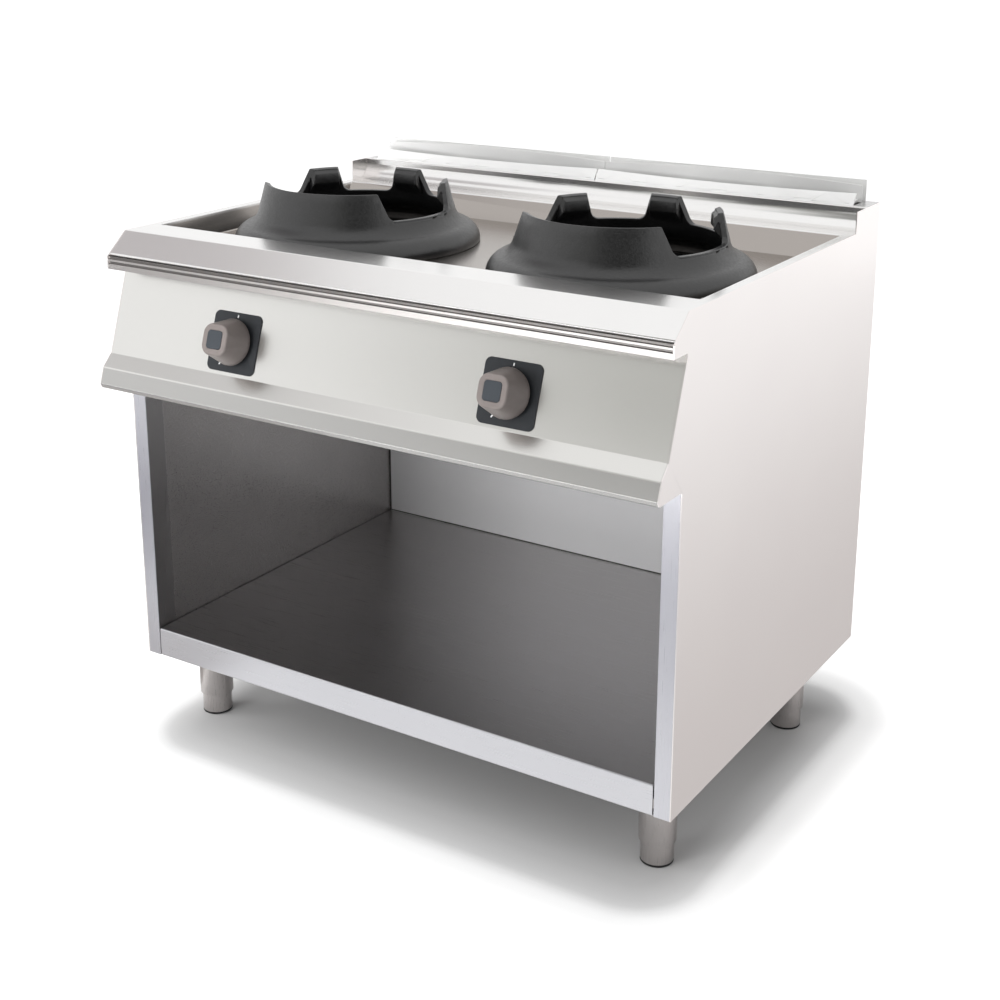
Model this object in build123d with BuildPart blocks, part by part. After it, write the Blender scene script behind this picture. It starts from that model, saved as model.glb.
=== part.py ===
from build123d import *
import os
from math import atan2, cos, radians, sin

# Free-standing gas wok range: two wok burners in a recessed worktop over an open cabinet.
# Millimetres. X runs to the right, Y to the back, Z up. The origin is on the floor, at the
# middle of the footprint. Depths along Y are measured from the front edge of the worktop,
# minus towards the cook; yz() turns such a depth and a height into model coordinates.

# ---------------------------------------------------------------- driving sizes
# wok rings, which set how wide and deep the body is
ring_base_radius = 204.0
ring_front_gap = 5.0
ring_rear_gap = 58.0
ring_side_gap = 21.0
ring_middle_gap = 88.0

# body
worktop_height = 870.0
cabinet_bottom = 132.0
side_sheet = 2.0
top_sheet = 2.0
panel_sheet = 1.5
lining_sheet = 1.2
rear_sheet = 1.0

# front nose of the worktop and the grooved rail under it
nose_reach = 43.0
nose_drop = 36.0
nose_top_radius = 4.0
nose_foot_radius = 3.0
nose_return = 18.0
rail_height = 20.0
rail_thickness = 8.0
rail_shelf_depth = 50.0
rail_shelf_sheet = 2.0
groove_depth = 3.0
groove_height = 4.0
fin_height = 3.4

# control panel, from its head under the rail down to its hem
panel_head_reach = 2.0
panel_head_return = 20.0
panel_drop = 137.0
panel_foot_reach = 48.0
kick_reach = 19.0
kick_drop = 19.0
face_reach = 9.0
face_drop = 26.5
hem_reach = 4.0
hem_drop = 7.5
panel_tail = 10.0
panel_tail_rise = 14.0
panel_fold_radius = 3.0

# well of the worktop
rim_front = 64.0
rim_side = 15.0
well_back_margin = 64.0
well_depth = 36.0
well_slope = 10.0
well_back_slope = 33.0
well_fold_radius = 4.0

# rear upstand and flue
vent_depth = 62.0
upstand_height = 35.0
upstand_flange = 10.0
cove_radius = 25.0
side_step = 44.0
flue_inset = 23.0
flue_joint = 2.0
blade_sheet = 2.0
front_blade_gap = 3.0
front_blade_lean = 13.0
front_blade_height = 19.0
front_blade_dip = 4.0
middle_blade_inset = 20.0
middle_blade_height = 28.0
middle_blade_crown = 7.0
rear_blade_height = 35.0
flue_slot_length = 30.0
flue_slot_height = 3.0
flue_end_margin = 24.0
flue_slot_count = 3
flue_slot_rise = 4.0
flue_tie_height = 4.0
flue_tie_width = 10.0
duct_drop = 60.0

# cabinet
post_width = 25.0
post_depth = 40.0
post_wall = 1.5
cabinet_setback = -6.0
floor_sheet = 1.5
floor_joint = 2.0
apron_height = 50.0
apron_return = 18.0
ceiling_drop = 14.0
back_cavity = 40.0
ceiling_lip = 28.0
flange_width = 14.0
flange_sheet = 1.5
louvre_count = 12
louvre_rows = 3
louvre_length = 50.0
louvre_height = 6.0
louvre_pitch = 70.0
louvre_row_pitch = 40.0
louvre_drop = 213.0

# rear screws
screw_radius = 2.0
screw_head_radius = 4.5
screw_head_height = 3.0
screw_length = 8.0
screw_clearance = 0.2
first_screw = 30.0
screw_pitch = 170.0
screw_count = 4
top_screws = (30.0, 12.0)

# base frame and feet
channel_width = 80.0
channel_wall = 2.0
cross_bar_width = 40.0
cross_bar_offset = 55.0
foot_inset = 65.0
front_foot_depth = 88.0
rear_foot_inset = 124.0
foot_tube_radius = 28.5
foot_tube_wall = 3.2
foot_sleeve_exposed = 37.0
foot_sleeve_overlap = 82.0
foot_sleeve_wall = 3.0
foot_pad_height = 4.0
foot_pad_chamfer = 1.0
foot_flange_radius = 34.0
foot_flange_thickness = 3.0
thread_clearance = 0.08
foot_hole_clearance = 0.4

# shape of the wok rings
ring_height = 100.0
ring_flange_edge = 8.0
shoulder_reach = 24.0
shoulder_rise = 24.0
shoulder_bulge = 5.0
throat_reach = 18.0
throat_rise = 24.0
throat_hollow = 3.5
ring_lean = 54.0
ring_wall = 9.0
lug_angles = (30.0, 90.0, 150.0)
lug_half_angle = 10.2
shield_half_angle = 50.0
notch_depth = 43.0
notch_taper = 10.0
notch_corner_radius = 13.0
lug_pad_thickness = 4.5
lug_pad_height = 26.0
lug_bite = 1.0
front_angle = 270.0
full_turn = 360.0

# burners and drip bowls
hob_hole_inset = 42.0
bowl_sheet = 1.0
bowl_rim_inset = 22.0
bowl_clearance = 3.0
bowl_slope = 40.0
bowl_depth = 44.0
cup_radius = 62.0
cup_wall = 6.0
cup_top_drop = 18.0
cup_gap = 4.0
cap_radius = 60.0
cap_height = 34.0
cap_crown = 10.0
cap_flat_radius = 22.0
cap_wall = 8.0
cap_spigot_height = 14.0
cap_clearance = 0.4
cap_port_count = 24
cap_port_radius = 2.0
venturi_radius = 22.0
venturi_wall = 4.0
venturi_length = 158.0
venturi_flare = 5.0
venturi_flare_length = 20.0
bracket_bar = 3.0
bracket_width = 40.0
bracket_seat = 40.0
arm_length = 34.0
arm_width = 36.0
arm_thickness = 6.0
arm_drop = 12.0
pilot_gap = 20.0
pilot_pitch = 18.0
pilot_radius = 4.0
thermocouple_radius = 3.0
pilot_length = 68.0
pilot_stub = 8.0
pilot_collar = 2.5
pilot_clearance = 1.5
seat_clearance = 0.1
injector_gap = 8.0
injector_radius = 9.0
injector_collar = 12.0
injector_collar_length = 4.0
injector_nose = 10.0
injector_stub = 12.0
injector_tip_radius = 4.0
injector_tip_length = 6.0
injector_bore = 3.5
injector_orifice = 1.2

# gas line
manifold_radius = 10.65
manifold_wall = 2.65
manifold_overhang = 42.0
manifold_bend_radius = 40.0
inlet_side_gap = 35.0
manifold_cap = 4.0
supply_radius = 5.0
supply_wall = 1.0
supply_bend_radius = 13.0
inlet_projection = 20.0
inlet_radius = 10.48
inlet_bore = 8.0
inlet_hex = 32.0
inlet_hex_sides = 6
inlet_hex_thickness = 8.0
inlet_clearance = 2.0

# taps and knobs on the sloping panel
plate_size = 93.0
plate_corner_radius = 10.0
plate_thickness = 2.0
plate_drop = 93.0
mark_radius = 40.5
mark_width = 2.0
mark_length = 4.5
mark_height = 0.6
mark_angles = (0.0, 148.6)
knob_push = 4.0
knob_gap = 1.5
knob_skirt_radius = 36.0
knob_skirt_edge = 2.0
knob_skirt_depth = 3.0
knob_skirt_wall = 3.0
knob_face_size = 47.0
knob_face_radius = 15.0
knob_height = 48.0
knob_face_fillet = 3.0
pad_size = 28.0
pad_corner_radius = 5.0
pad_depth = 2.0
pad_proud = 0.5
pad_clearance = 0.3
spindle_radius = 4.0
spindle_clearance = 0.05
spindle_in_knob = 30.0
spindle_hole_clearance = 2.0
tap_set_back = 22.0
tap_length = 52.0
tap_radius = 17.0
tap_bonnet = 5.0
tap_floor = 4.0
tap_plug_radius = 9.0
tap_plug_clearance = 0.05
tap_plug_play = 0.5
tap_port_radius = 4.0
tap_boss_radius = 9.0
tap_boss_reach = 22.0
manifold_drop = 36.0

# ---------------------------------------------------------------- shared places
ring_width = 2 * ring_base_radius
burner_spacing = ring_width + ring_middle_gap
burner_depth = rim_front + well_slope + ring_front_gap + ring_base_radius
ring_top_radius = ring_base_radius - ring_lean
hob_hole_radius = ring_base_radius - hob_hole_inset
bowl_rim_radius = ring_base_radius - bowl_rim_inset
bowl_floor_radius = hob_hole_radius - bowl_slope
pilot_reach = cup_radius + pilot_gap
well_back = burner_depth + ring_base_radius + ring_rear_gap + well_back_slope
upstand_depth = well_back + well_back_margin
body_depth = upstand_depth + vent_depth
side_step_depth = upstand_depth - side_step
front_blade_depth = upstand_depth + front_blade_gap
middle_blade_depth = body_depth - middle_blade_inset
compartment_depth = body_depth - back_cavity
rear_foot_depth = body_depth - rear_foot_inset

slope = atan2(panel_foot_reach - panel_head_reach, panel_drop)
up_slope = (0, sin(slope), cos(slope))
out_of_panel = (0, -cos(slope), sin(slope))
plate_reach = panel_head_reach + plate_drop * sin(slope)
knob_base = plate_thickness + knob_push + knob_gap
knob_taper = atan2(
    knob_skirt_radius - knob_face_size / 2, knob_height - knob_base - knob_skirt_edge
)
knob_fillet_inset = knob_face_fillet * (1 - sin(knob_taper)) / cos(knob_taper)
knob_reach = (
    plate_reach
    + (knob_height - knob_face_fillet) * cos(slope)
    + (knob_face_size / 2 - knob_fillet_inset) * sin(slope)
    + knob_face_fillet
)
front_y = (knob_reach - body_depth - screw_head_height) / 2
back_y = front_y + body_depth

inner_half = burner_spacing / 2 + ring_base_radius + ring_side_gap + well_slope + rim_side
half_width = inner_half + side_sheet
flue_half_width = inner_half - flue_inset
flue_slot_pitch = (flue_half_width - flue_joint / 2 - flue_end_margin) / flue_slot_count
rail_top = worktop_height - nose_drop
rail_bottom = rail_top - rail_height
panel_foot_z = rail_bottom - panel_drop
kick_z = panel_foot_z - kick_drop
face_foot_z = kick_z - face_drop
hem_z = face_foot_z - hem_drop
well_z = worktop_height - well_depth
upstand_z = worktop_height + upstand_height
post_inner = inner_half - post_width
lining_outer = post_inner + lining_sheet
post_back = cabinet_setback + post_depth
floor_z = cabinet_bottom + apron_height
frame_top = floor_z - floor_sheet
ceiling_z = hem_z - ceiling_drop
flange_back = body_depth - rear_sheet
panel_height = upstand_z - cabinet_bottom
screw_heights = [first_screw + row * screw_pitch for row in range(screw_count)]
screw_heights += [panel_height - drop for drop in top_screws]
foot_x = half_width - foot_inset
manifold_side = foot_x - channel_width / 2 - inlet_side_gap
burner_y = front_y + burner_depth
cup_top = well_z - cup_top_drop
venturi_z = well_z - bowl_depth - bowl_clearance - venturi_radius
cup_bottom = venturi_z - venturi_radius
venturi_mouth = burner_depth - venturi_length
injector_seat = venturi_mouth - injector_gap - injector_tip_length - injector_nose
riser_depth = (compartment_depth + lining_sheet + flange_back) / 2
inlet_seat = cabinet_bottom + rear_sheet + inlet_hex_thickness
plate_z = rail_bottom - plate_drop * cos(slope)
tap_mid = tap_set_back + tap_length / 2
SIDES = (("left", -1), ("right", 1))

os.makedirs("parts", exist_ok=True)


def save(piece, name):
    piece.label = name
    export_step(piece, f"parts/{name}.step")


def yz(reach, z):
    """A point of a side profile, from its depth behind the worktop's edge and its height."""
    return (front_y + reach, z)


def tap_point(sign, out, up=0.0):
    """A point on a knob's axis: out of the panel, then up its slope."""
    y = front_y - plate_reach - out * cos(slope) + up * sin(slope)
    z = plate_z + out * sin(slope) + up * cos(slope)
    return (sign * burner_spacing / 2, y, z)


def tap_plane(sign, out=0.0, up=0.0):
    """Plane on a knob's axis: X to the right, Y up the slope, Z out of the panel."""
    return Plane(origin=tap_point(sign, out, up), x_dir=(1, 0, 0), z_dir=out_of_panel)


def block(x_range, reach_range, z_range, mode=Mode.ADD):
    """A box from its three ranges, in the part being built."""
    x_low, x_high = sorted(x_range)
    y_low, y_high = reach_range
    z_low, z_high = z_range
    center = ((x_low + x_high) / 2, front_y + (y_low + y_high) / 2, (z_low + z_high) / 2)
    with Locations(center):
        Box(x_high - x_low, y_high - y_low, z_high - z_low, mode=mode)


def folded_sheet(points, radii, thickness, side):
    """Section of a sheet folded along the points, as a sketch in its own plane."""
    with BuildSketch() as section:
        with BuildLine():
            FilletPolyline(*points, radius=radii)
            offset(amount=thickness, side=side)
        make_face()
    return section.sketch


# ---------------------------------------------------------------- profile of the front
nose_top = yz(0, worktop_height)
nose_foot = yz(-nose_reach, rail_top)
panel_head = yz(-panel_head_reach, rail_bottom)
panel_foot = yz(-panel_foot_reach, panel_foot_z)
kick_foot = yz(-panel_foot_reach - kick_reach, kick_z)
face_foot = yz(-panel_foot_reach - kick_reach - face_reach, face_foot_z)
hem_foot = yz(-panel_foot_reach - kick_reach - face_reach + hem_reach, hem_z)

# ---------------------------------------------------------------- side panels and posts
side_profile = [
    (nose_top, nose_top_radius),
    (nose_foot, nose_foot_radius),
    (yz(-nose_reach, rail_bottom), 0),
    (panel_head, 0),
    (panel_foot, panel_fold_radius),
    (kick_foot, panel_fold_radius),
    (face_foot, panel_fold_radius),
    (hem_foot, panel_fold_radius),
    (yz(cabinet_setback, hem_z), 0),
    (yz(cabinet_setback, cabinet_bottom), 0),
    (yz(body_depth, cabinet_bottom), 0),
    (yz(body_depth, upstand_z), 0),
    (yz(side_step_depth, upstand_z), 0),
    (yz(side_step_depth, worktop_height), 0),
]
screw_x = inner_half - flange_width / 2

for name, sign in SIDES:
    flange_x = (sign * (inner_half - flange_width), sign * inner_half)
    with BuildPart() as side_panel:
        with BuildSketch(Plane.YZ.offset(sign * half_width)):
            with BuildLine():
                points, radii = zip(*side_profile)
                FilletPolyline(*points, radius=radii, close=True)
            make_face()
        extrude(amount=-sign * side_sheet)
        block(
            flange_x,
            (flange_back - flange_sheet, flange_back),
            (cabinet_bottom, upstand_z - 2 * rear_sheet),
        )
        block(
            flange_x,
            (post_back, flange_back),
            (cabinet_bottom, cabinet_bottom + flange_sheet),
        )
        with Locations(
            *[
                Plane(origin=(sign * screw_x, back_y, cabinet_bottom + height), z_dir=(0, 1, 0))
                for height in screw_heights
            ]
        ):
            Hole(radius=screw_radius + screw_clearance)
    save(side_panel.part, f"side_panel_{name}")

    with BuildPart() as front_post:
        post_x = (sign * post_inner, sign * inner_half)
        core_x = (sign * (post_inner + post_wall), sign * (inner_half - post_wall))
        block(post_x, (cabinet_setback, post_back), (cabinet_bottom, hem_z))
        block(
            core_x,
            (cabinet_setback + post_wall, post_back - post_wall),
            (cabinet_bottom, hem_z),
            mode=Mode.SUBTRACT,
        )
    save(front_post.part, f"front_post_{name}")

# ---------------------------------------------------------------- worktop
def well(grow=0.0):
    """The space of the well, or with grow its outside: walls that lean in towards the floor."""
    with BuildPart() as space:
        for fall in (0, 1 + grow / well_depth):
            half_x = inner_half - rim_side - well_slope * fall + grow
            y_low = rim_front + well_slope * fall - grow
            y_high = well_back - well_back_slope * fall + grow
            with BuildSketch(Plane.XY.offset(worktop_height - well_depth * fall)):
                with Locations((0, front_y + (y_low + y_high) / 2)):
                    Rectangle(2 * half_x, y_high - y_low)
        loft(ruled=True)
        fillet(space.edges() - space.edges().group_by(Axis.Z)[-1], well_fold_radius + grow)
    return space.part


with BuildPart() as worktop:
    with BuildSketch(Plane.YZ):
        add(
            folded_sheet(
                [
                    yz(nose_return - nose_reach, rail_top),
                    nose_foot,
                    nose_top,
                    yz(upstand_depth, worktop_height),
                    yz(upstand_depth, upstand_z),
                    yz(upstand_depth + upstand_flange, upstand_z),
                ],
                [nose_foot_radius, nose_top_radius, cove_radius, top_sheet],
                top_sheet,
                Side.RIGHT,
            )
        )
    extrude(amount=inner_half, both=True)
    add(well(top_sheet))
    add(well(), mode=Mode.SUBTRACT)
    with Locations(*[(sign * burner_spacing / 2, burner_y, well_z) for _, sign in SIDES]):
        Cylinder(hob_hole_radius, 3 * top_sheet, mode=Mode.SUBTRACT)
save(worktop.part, "worktop")

# ---------------------------------------------------------------- front rail
with BuildPart() as front_rail:
    whole_width = (-inner_half, inner_half)
    block(whole_width, (-nose_reach, rail_thickness - nose_reach), (rail_bottom, rail_top))
    block(
        whole_width,
        (-nose_reach, rail_shelf_depth - nose_reach),
        (rail_bottom, rail_bottom + rail_shelf_sheet),
    )
    for row in range(2):
        groove_top = rail_top - row * (groove_height + fin_height)
        block(
            whole_width,
            (-nose_reach, groove_depth - nose_reach),
            (groove_top - groove_height, groove_top),
            mode=Mode.SUBTRACT,
        )
save(front_rail.part, "front_rail")

# ---------------------------------------------------------------- control panel
with BuildPart() as control_panel:
    with BuildSketch(Plane.YZ):
        add(
            folded_sheet(
                [
                    yz(panel_head_return - panel_head_reach, rail_bottom),
                    panel_head,
                    panel_foot,
                    kick_foot,
                    face_foot,
                    hem_foot,
                    yz(panel_tail, hem_z),
                    yz(panel_tail, hem_z + panel_tail_rise),
                ],
                panel_fold_radius,
                panel_sheet,
                Side.LEFT,
            )
        )
    extrude(amount=inner_half, both=True)
    with Locations(*[tap_plane(sign) for _, sign in SIDES]):
        Hole(radius=spindle_radius + spindle_hole_clearance, depth=4 * panel_sheet)
save(control_panel.part, "control_panel")

# ---------------------------------------------------------------- cabinet
with BuildPart() as cabinet_floor:
    with BuildSketch(Plane.YZ):
        add(
            folded_sheet(
                [
                    yz(compartment_depth, floor_z),
                    yz(cabinet_setback, floor_z),
                    yz(cabinet_setback, cabinet_bottom),
                    yz(cabinet_setback + apron_return, cabinet_bottom),
                ],
                2 * floor_sheet,
                floor_sheet,
                Side.LEFT,
            )
        )
    extrude(amount=post_inner - floor_joint, both=True)
save(cabinet_floor.part, "cabinet_floor")

for name, sign in SIDES:
    with BuildPart() as lining:
        block(
            (sign * post_inner, sign * lining_outer),
            (post_back, compartment_depth),
            (frame_top, ceiling_z),
        )
    save(lining.part, f"lining_{name}")

with BuildPart() as cabinet_ceiling:
    ceiling = (ceiling_z, ceiling_z + lining_sheet)
    between_posts = (-post_inner, post_inner)
    block((-inner_half, inner_half), (post_back, compartment_depth + lining_sheet), ceiling)
    block(between_posts, (panel_tail, post_back), ceiling)
    block(between_posts, (panel_tail, panel_tail + lining_sheet), (ceiling_z, ceiling_z + ceiling_lip))
save(cabinet_ceiling.part, "cabinet_ceiling")

with BuildPart() as cabinet_back:
    block(
        (-lining_outer, lining_outer),
        (compartment_depth, compartment_depth + lining_sheet),
        (frame_top, ceiling_z),
    )
save(cabinet_back.part, "cabinet_back")

channel_inner = foot_x - channel_width / 2
with BuildPart() as rear_panel:
    block((-inner_half, inner_half), (flange_back, body_depth), (cabinet_bottom, upstand_z))
    block(
        (-inner_half, inner_half),
        (flange_back - upstand_flange, flange_back),
        (upstand_z - rear_sheet, upstand_z),
    )
    block(
        (-channel_inner, channel_inner),
        (compartment_depth + lining_sheet, flange_back),
        (cabinet_bottom, cabinet_bottom + rear_sheet),
    )
    with Locations((manifold_side, front_y + riser_depth, cabinet_bottom + rear_sheet)):
        Hole(radius=inlet_radius + inlet_clearance, depth=rear_sheet)
    with BuildSketch(Plane(origin=(0, back_y, cabinet_bottom), x_dir=(1, 0, 0), z_dir=(0, -1, 0))):
        with Locations((0, panel_height - louvre_drop)):
            with GridLocations(louvre_pitch, louvre_row_pitch, louvre_count, louvre_rows):
                SlotOverall(louvre_length, louvre_height)
        with Locations(*[(sign * screw_x, height) for _, sign in SIDES for height in screw_heights]):
            Circle(screw_radius + screw_clearance)
    extrude(amount=rear_sheet, mode=Mode.SUBTRACT)
save(rear_panel.part, "rear_panel")

with BuildPart() as rear_screws:
    for _, sign in SIDES:
        for height in screw_heights:
            head = Plane(origin=(sign * screw_x, back_y, cabinet_bottom + height), z_dir=(0, 1, 0))
            with Locations(head):
                Cylinder(
                    screw_head_radius,
                    screw_head_height,
                    align=(Align.CENTER, Align.CENTER, Align.MIN),
                )
                Cylinder(screw_radius, screw_length, align=(Align.CENTER, Align.CENTER, Align.MAX))
    fillet(rear_screws.edges().group_by(Axis.Y)[-1], screw_head_height / 2)
save(rear_screws.part, "rear_screws")

# ---------------------------------------------------------------- base frame
with BuildPart() as base_frame:
    web_top = cabinet_bottom + channel_wall
    for _, sign in SIDES:
        outer = (sign * channel_inner, sign * (foot_x + channel_width / 2))
        core = (
            sign * (channel_inner + channel_wall),
            sign * (foot_x + channel_width / 2 - channel_wall),
        )
        block(outer, (post_back, flange_back), (cabinet_bottom, frame_top))
        block(core, (post_back, flange_back), (web_top, frame_top), mode=Mode.SUBTRACT)
    front_bar = front_foot_depth + cross_bar_offset
    rear_bar = rear_foot_depth - cross_bar_offset - cross_bar_width
    for depth in (front_bar, rear_bar):
        bar = (depth, depth + cross_bar_width)
        inside = (depth + channel_wall, depth + cross_bar_width - channel_wall)
        block((-inner_half, inner_half), bar, (web_top, frame_top))
        block(
            (-inner_half, inner_half), inside, (web_top, frame_top - channel_wall), mode=Mode.SUBTRACT
        )
    with Locations(
        *[
            (sign * foot_x, front_y + depth, web_top)
            for _, sign in SIDES
            for depth in (front_foot_depth, rear_foot_depth)
        ]
    ):
        Hole(radius=foot_tube_radius + foot_hole_clearance, depth=channel_wall)
save(base_frame.part, "base_frame")

# ---------------------------------------------------------------- feet
sleeve_radius = foot_tube_radius - foot_tube_wall - thread_clearance
upward = (Align.CENTER, Align.CENTER, Align.MIN)
for place, depth in (("front", front_foot_depth), ("rear", rear_foot_depth)):
    for name, sign in SIDES:
        x, y = sign * foot_x, front_y + depth
        with BuildPart() as foot_tube:
            with Locations((x, y, foot_sleeve_exposed)):
                tube_length = web_top - foot_sleeve_exposed
                Cylinder(foot_tube_radius, tube_length, align=upward)
                Cylinder(
                    foot_tube_radius - foot_tube_wall, tube_length, align=upward, mode=Mode.SUBTRACT
                )
            with Locations((x, y, web_top)):
                Cylinder(foot_flange_radius, foot_flange_thickness, align=upward)
        save(foot_tube.part, f"foot_tube_{place}_{name}")

        with BuildPart() as foot_sleeve:
            with Locations((x, y, foot_pad_height)):
                Cylinder(
                    sleeve_radius,
                    foot_sleeve_exposed + foot_sleeve_overlap - foot_pad_height,
                    align=upward,
                )
            with Locations((x, y, foot_pad_height + foot_sleeve_wall)):
                Cylinder(
                    sleeve_radius - foot_sleeve_wall,
                    foot_sleeve_exposed + foot_sleeve_overlap,
                    align=upward,
                    mode=Mode.SUBTRACT,
                )
        save(foot_sleeve.part, f"foot_sleeve_{place}_{name}")

        with BuildPart() as foot_pad:
            with Locations((x, y, 0)):
                Cylinder(sleeve_radius, foot_pad_height, align=upward)
            chamfer(foot_pad.edges().group_by(Axis.Z)[0], foot_pad_chamfer)
        save(foot_pad.part, f"foot_pad_{place}_{name}")

# ---------------------------------------------------------------- flue
with BuildPart() as flue_duct:
    duct_front = upstand_depth + upstand_flange
    duct_back = flange_back - upstand_flange
    duct_z = (upstand_z - duct_drop, upstand_z)
    block((-flue_half_width, flue_half_width), (duct_front, duct_back), duct_z)
    block(
        (lining_sheet - flue_half_width, flue_half_width - lining_sheet),
        (duct_front + lining_sheet, duct_back - lining_sheet),
        duct_z,
        mode=Mode.SUBTRACT,
    )
    for _, sign in SIDES:
        block(
            (sign * flue_half_width, sign * inner_half),
            (duct_front, duct_back),
            (upstand_z - lining_sheet, upstand_z),
        )
save(flue_duct.part, "flue_duct")


def blade(plane, x_range, height, rise):
    """An upright flue blade on the part being built; its top edge bows by the rise."""
    x_low, x_high = x_range
    with BuildSketch(plane) as face:
        with BuildLine():
            Polyline((x_low, height), (x_low, 0), (x_high, 0), (x_high, height))
            if rise:
                SagittaArc((x_high, height), (x_low, height), -rise)
            else:
                Line((x_high, height), (x_low, height))
        make_face()
    return face.sketch


lean = atan2(front_blade_lean, front_blade_height)
front_face = Plane(
    origin=(0, front_y + front_blade_depth, upstand_z),
    x_dir=(1, 0, 0),
    z_dir=(0, -cos(lean), sin(lean)),
)
front_length = front_blade_height / cos(lean)
for name, sign in SIDES:
    x_range = sorted((sign * flue_joint / 2, sign * flue_half_width))
    x_mid = sum(x_range) / 2
    with BuildPart() as flue:
        extrude(blade(front_face, x_range, front_length, -front_blade_dip), amount=-blade_sheet)
        for depth, height, rise in (
            (middle_blade_depth, middle_blade_height, middle_blade_crown),
            (body_depth - blade_sheet, rear_blade_height, 0),
        ):
            upright = Plane(
                origin=(0, front_y + depth, upstand_z), x_dir=(1, 0, 0), z_dir=(0, -1, 0)
            )
            extrude(blade(upright, x_range, height, rise), amount=-blade_sheet)
        for step in (-1.5, -0.5, 0.5, 1.5):
            tie_x = x_mid + step * flue_slot_pitch - flue_tie_width / 2
            block(
                (tie_x, tie_x + flue_tie_width),
                (front_blade_depth + blade_sheet, body_depth),
                (upstand_z, upstand_z + flue_tie_height),
            )
        with BuildSketch(front_face):
            for step in (-1, 0, 1):
                with Locations((x_mid + step * flue_slot_pitch, flue_slot_rise)):
                    SlotOverall(flue_slot_length, flue_slot_height)
        extrude(amount=-blade_sheet, mode=Mode.SUBTRACT)
        block(
            x_range,
            (front_blade_depth, body_depth),
            (upstand_z - 2 * blade_sheet, upstand_z),
            mode=Mode.SUBTRACT,
        )
    save(flue.part, f"flue_{name}")

# ---------------------------------------------------------------- wok rings
for name, sign in SIDES:
    center = (sign * burner_spacing / 2, burner_y)
    axis = Axis((*center, 0), (0, 0, 1))
    with BuildPart() as wok_ring:
        with BuildSketch(Plane(origin=(*center, well_z), x_dir=(1, 0, 0), z_dir=(0, -1, 0))):
            shoulder = (ring_base_radius - shoulder_reach, ring_flange_edge + shoulder_rise)
            throat = (shoulder[0] - throat_reach, shoulder[1] + throat_rise)
            with BuildLine():
                Line((ring_base_radius, 0), (ring_base_radius, ring_flange_edge))
                SagittaArc((ring_base_radius, ring_flange_edge), shoulder, -shoulder_bulge)
                SagittaArc(shoulder, throat, throat_hollow)
                Line(throat, (ring_top_radius, ring_height))
                offset(amount=ring_wall, side=Side.LEFT)
            make_face()
        revolve(axis=axis)
        for angle in lug_angles:
            start = radians(angle - lug_half_angle)
            side_of_lug = Plane(
                origin=(*center, well_z),
                x_dir=(cos(start), sin(start), 0),
                z_dir=(sin(start), -cos(start), 0),
            )
            with BuildSketch(side_of_lug):
                inner = ring_top_radius - ring_wall
                with BuildLine():
                    Polyline(
                        (inner + lug_bite, ring_height - ring_wall / 2),
                        (inner - lug_pad_thickness, ring_height - ring_wall),
                        (inner - lug_pad_thickness, ring_height - lug_pad_height),
                        (throat[0] - ring_wall, throat[1]),
                        (inner + ring_wall / 2, ring_height - ring_wall),
                        close=True,
                    )
                make_face()
            revolve(axis=axis, revolution_arc=2 * lug_half_angle)
        notch_floor = well_z + ring_height - notch_depth
        edges = []
        for angle in lug_angles:
            edges.append((angle - lug_half_angle, angle + lug_half_angle))
        edges.append((front_angle - shield_half_angle, front_angle + shield_half_angle))
        starts = [low for low, _ in edges[1:]] + [edges[0][0] + full_turn]
        for (_, high), following in zip(edges, starts):
            middle = (high + following) / 2
            half_angle = radians((following - high) / 2)
            mouth = ring_top_radius * sin(half_angle)
            radial = (cos(radians(middle)), sin(radians(middle)), 0)
            across = (-radial[1], radial[0], 0)
            with BuildSketch(Plane(origin=(*center, notch_floor), x_dir=across, z_dir=radial)):
                with BuildLine():
                    FilletPolyline(
                        (-mouth, 2 * notch_depth),
                        (-mouth, notch_depth),
                        (notch_taper - mouth, 0),
                        (mouth - notch_taper, 0),
                        (mouth, notch_depth),
                        (mouth, 2 * notch_depth),
                        radius=[0, notch_corner_radius, notch_corner_radius, 0],
                    )
                    Line((mouth, 2 * notch_depth), (-mouth, 2 * notch_depth))
                make_face()
            extrude(amount=ring_base_radius, mode=Mode.SUBTRACT)
    save(wok_ring.part, f"wok_ring_{name}")

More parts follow.
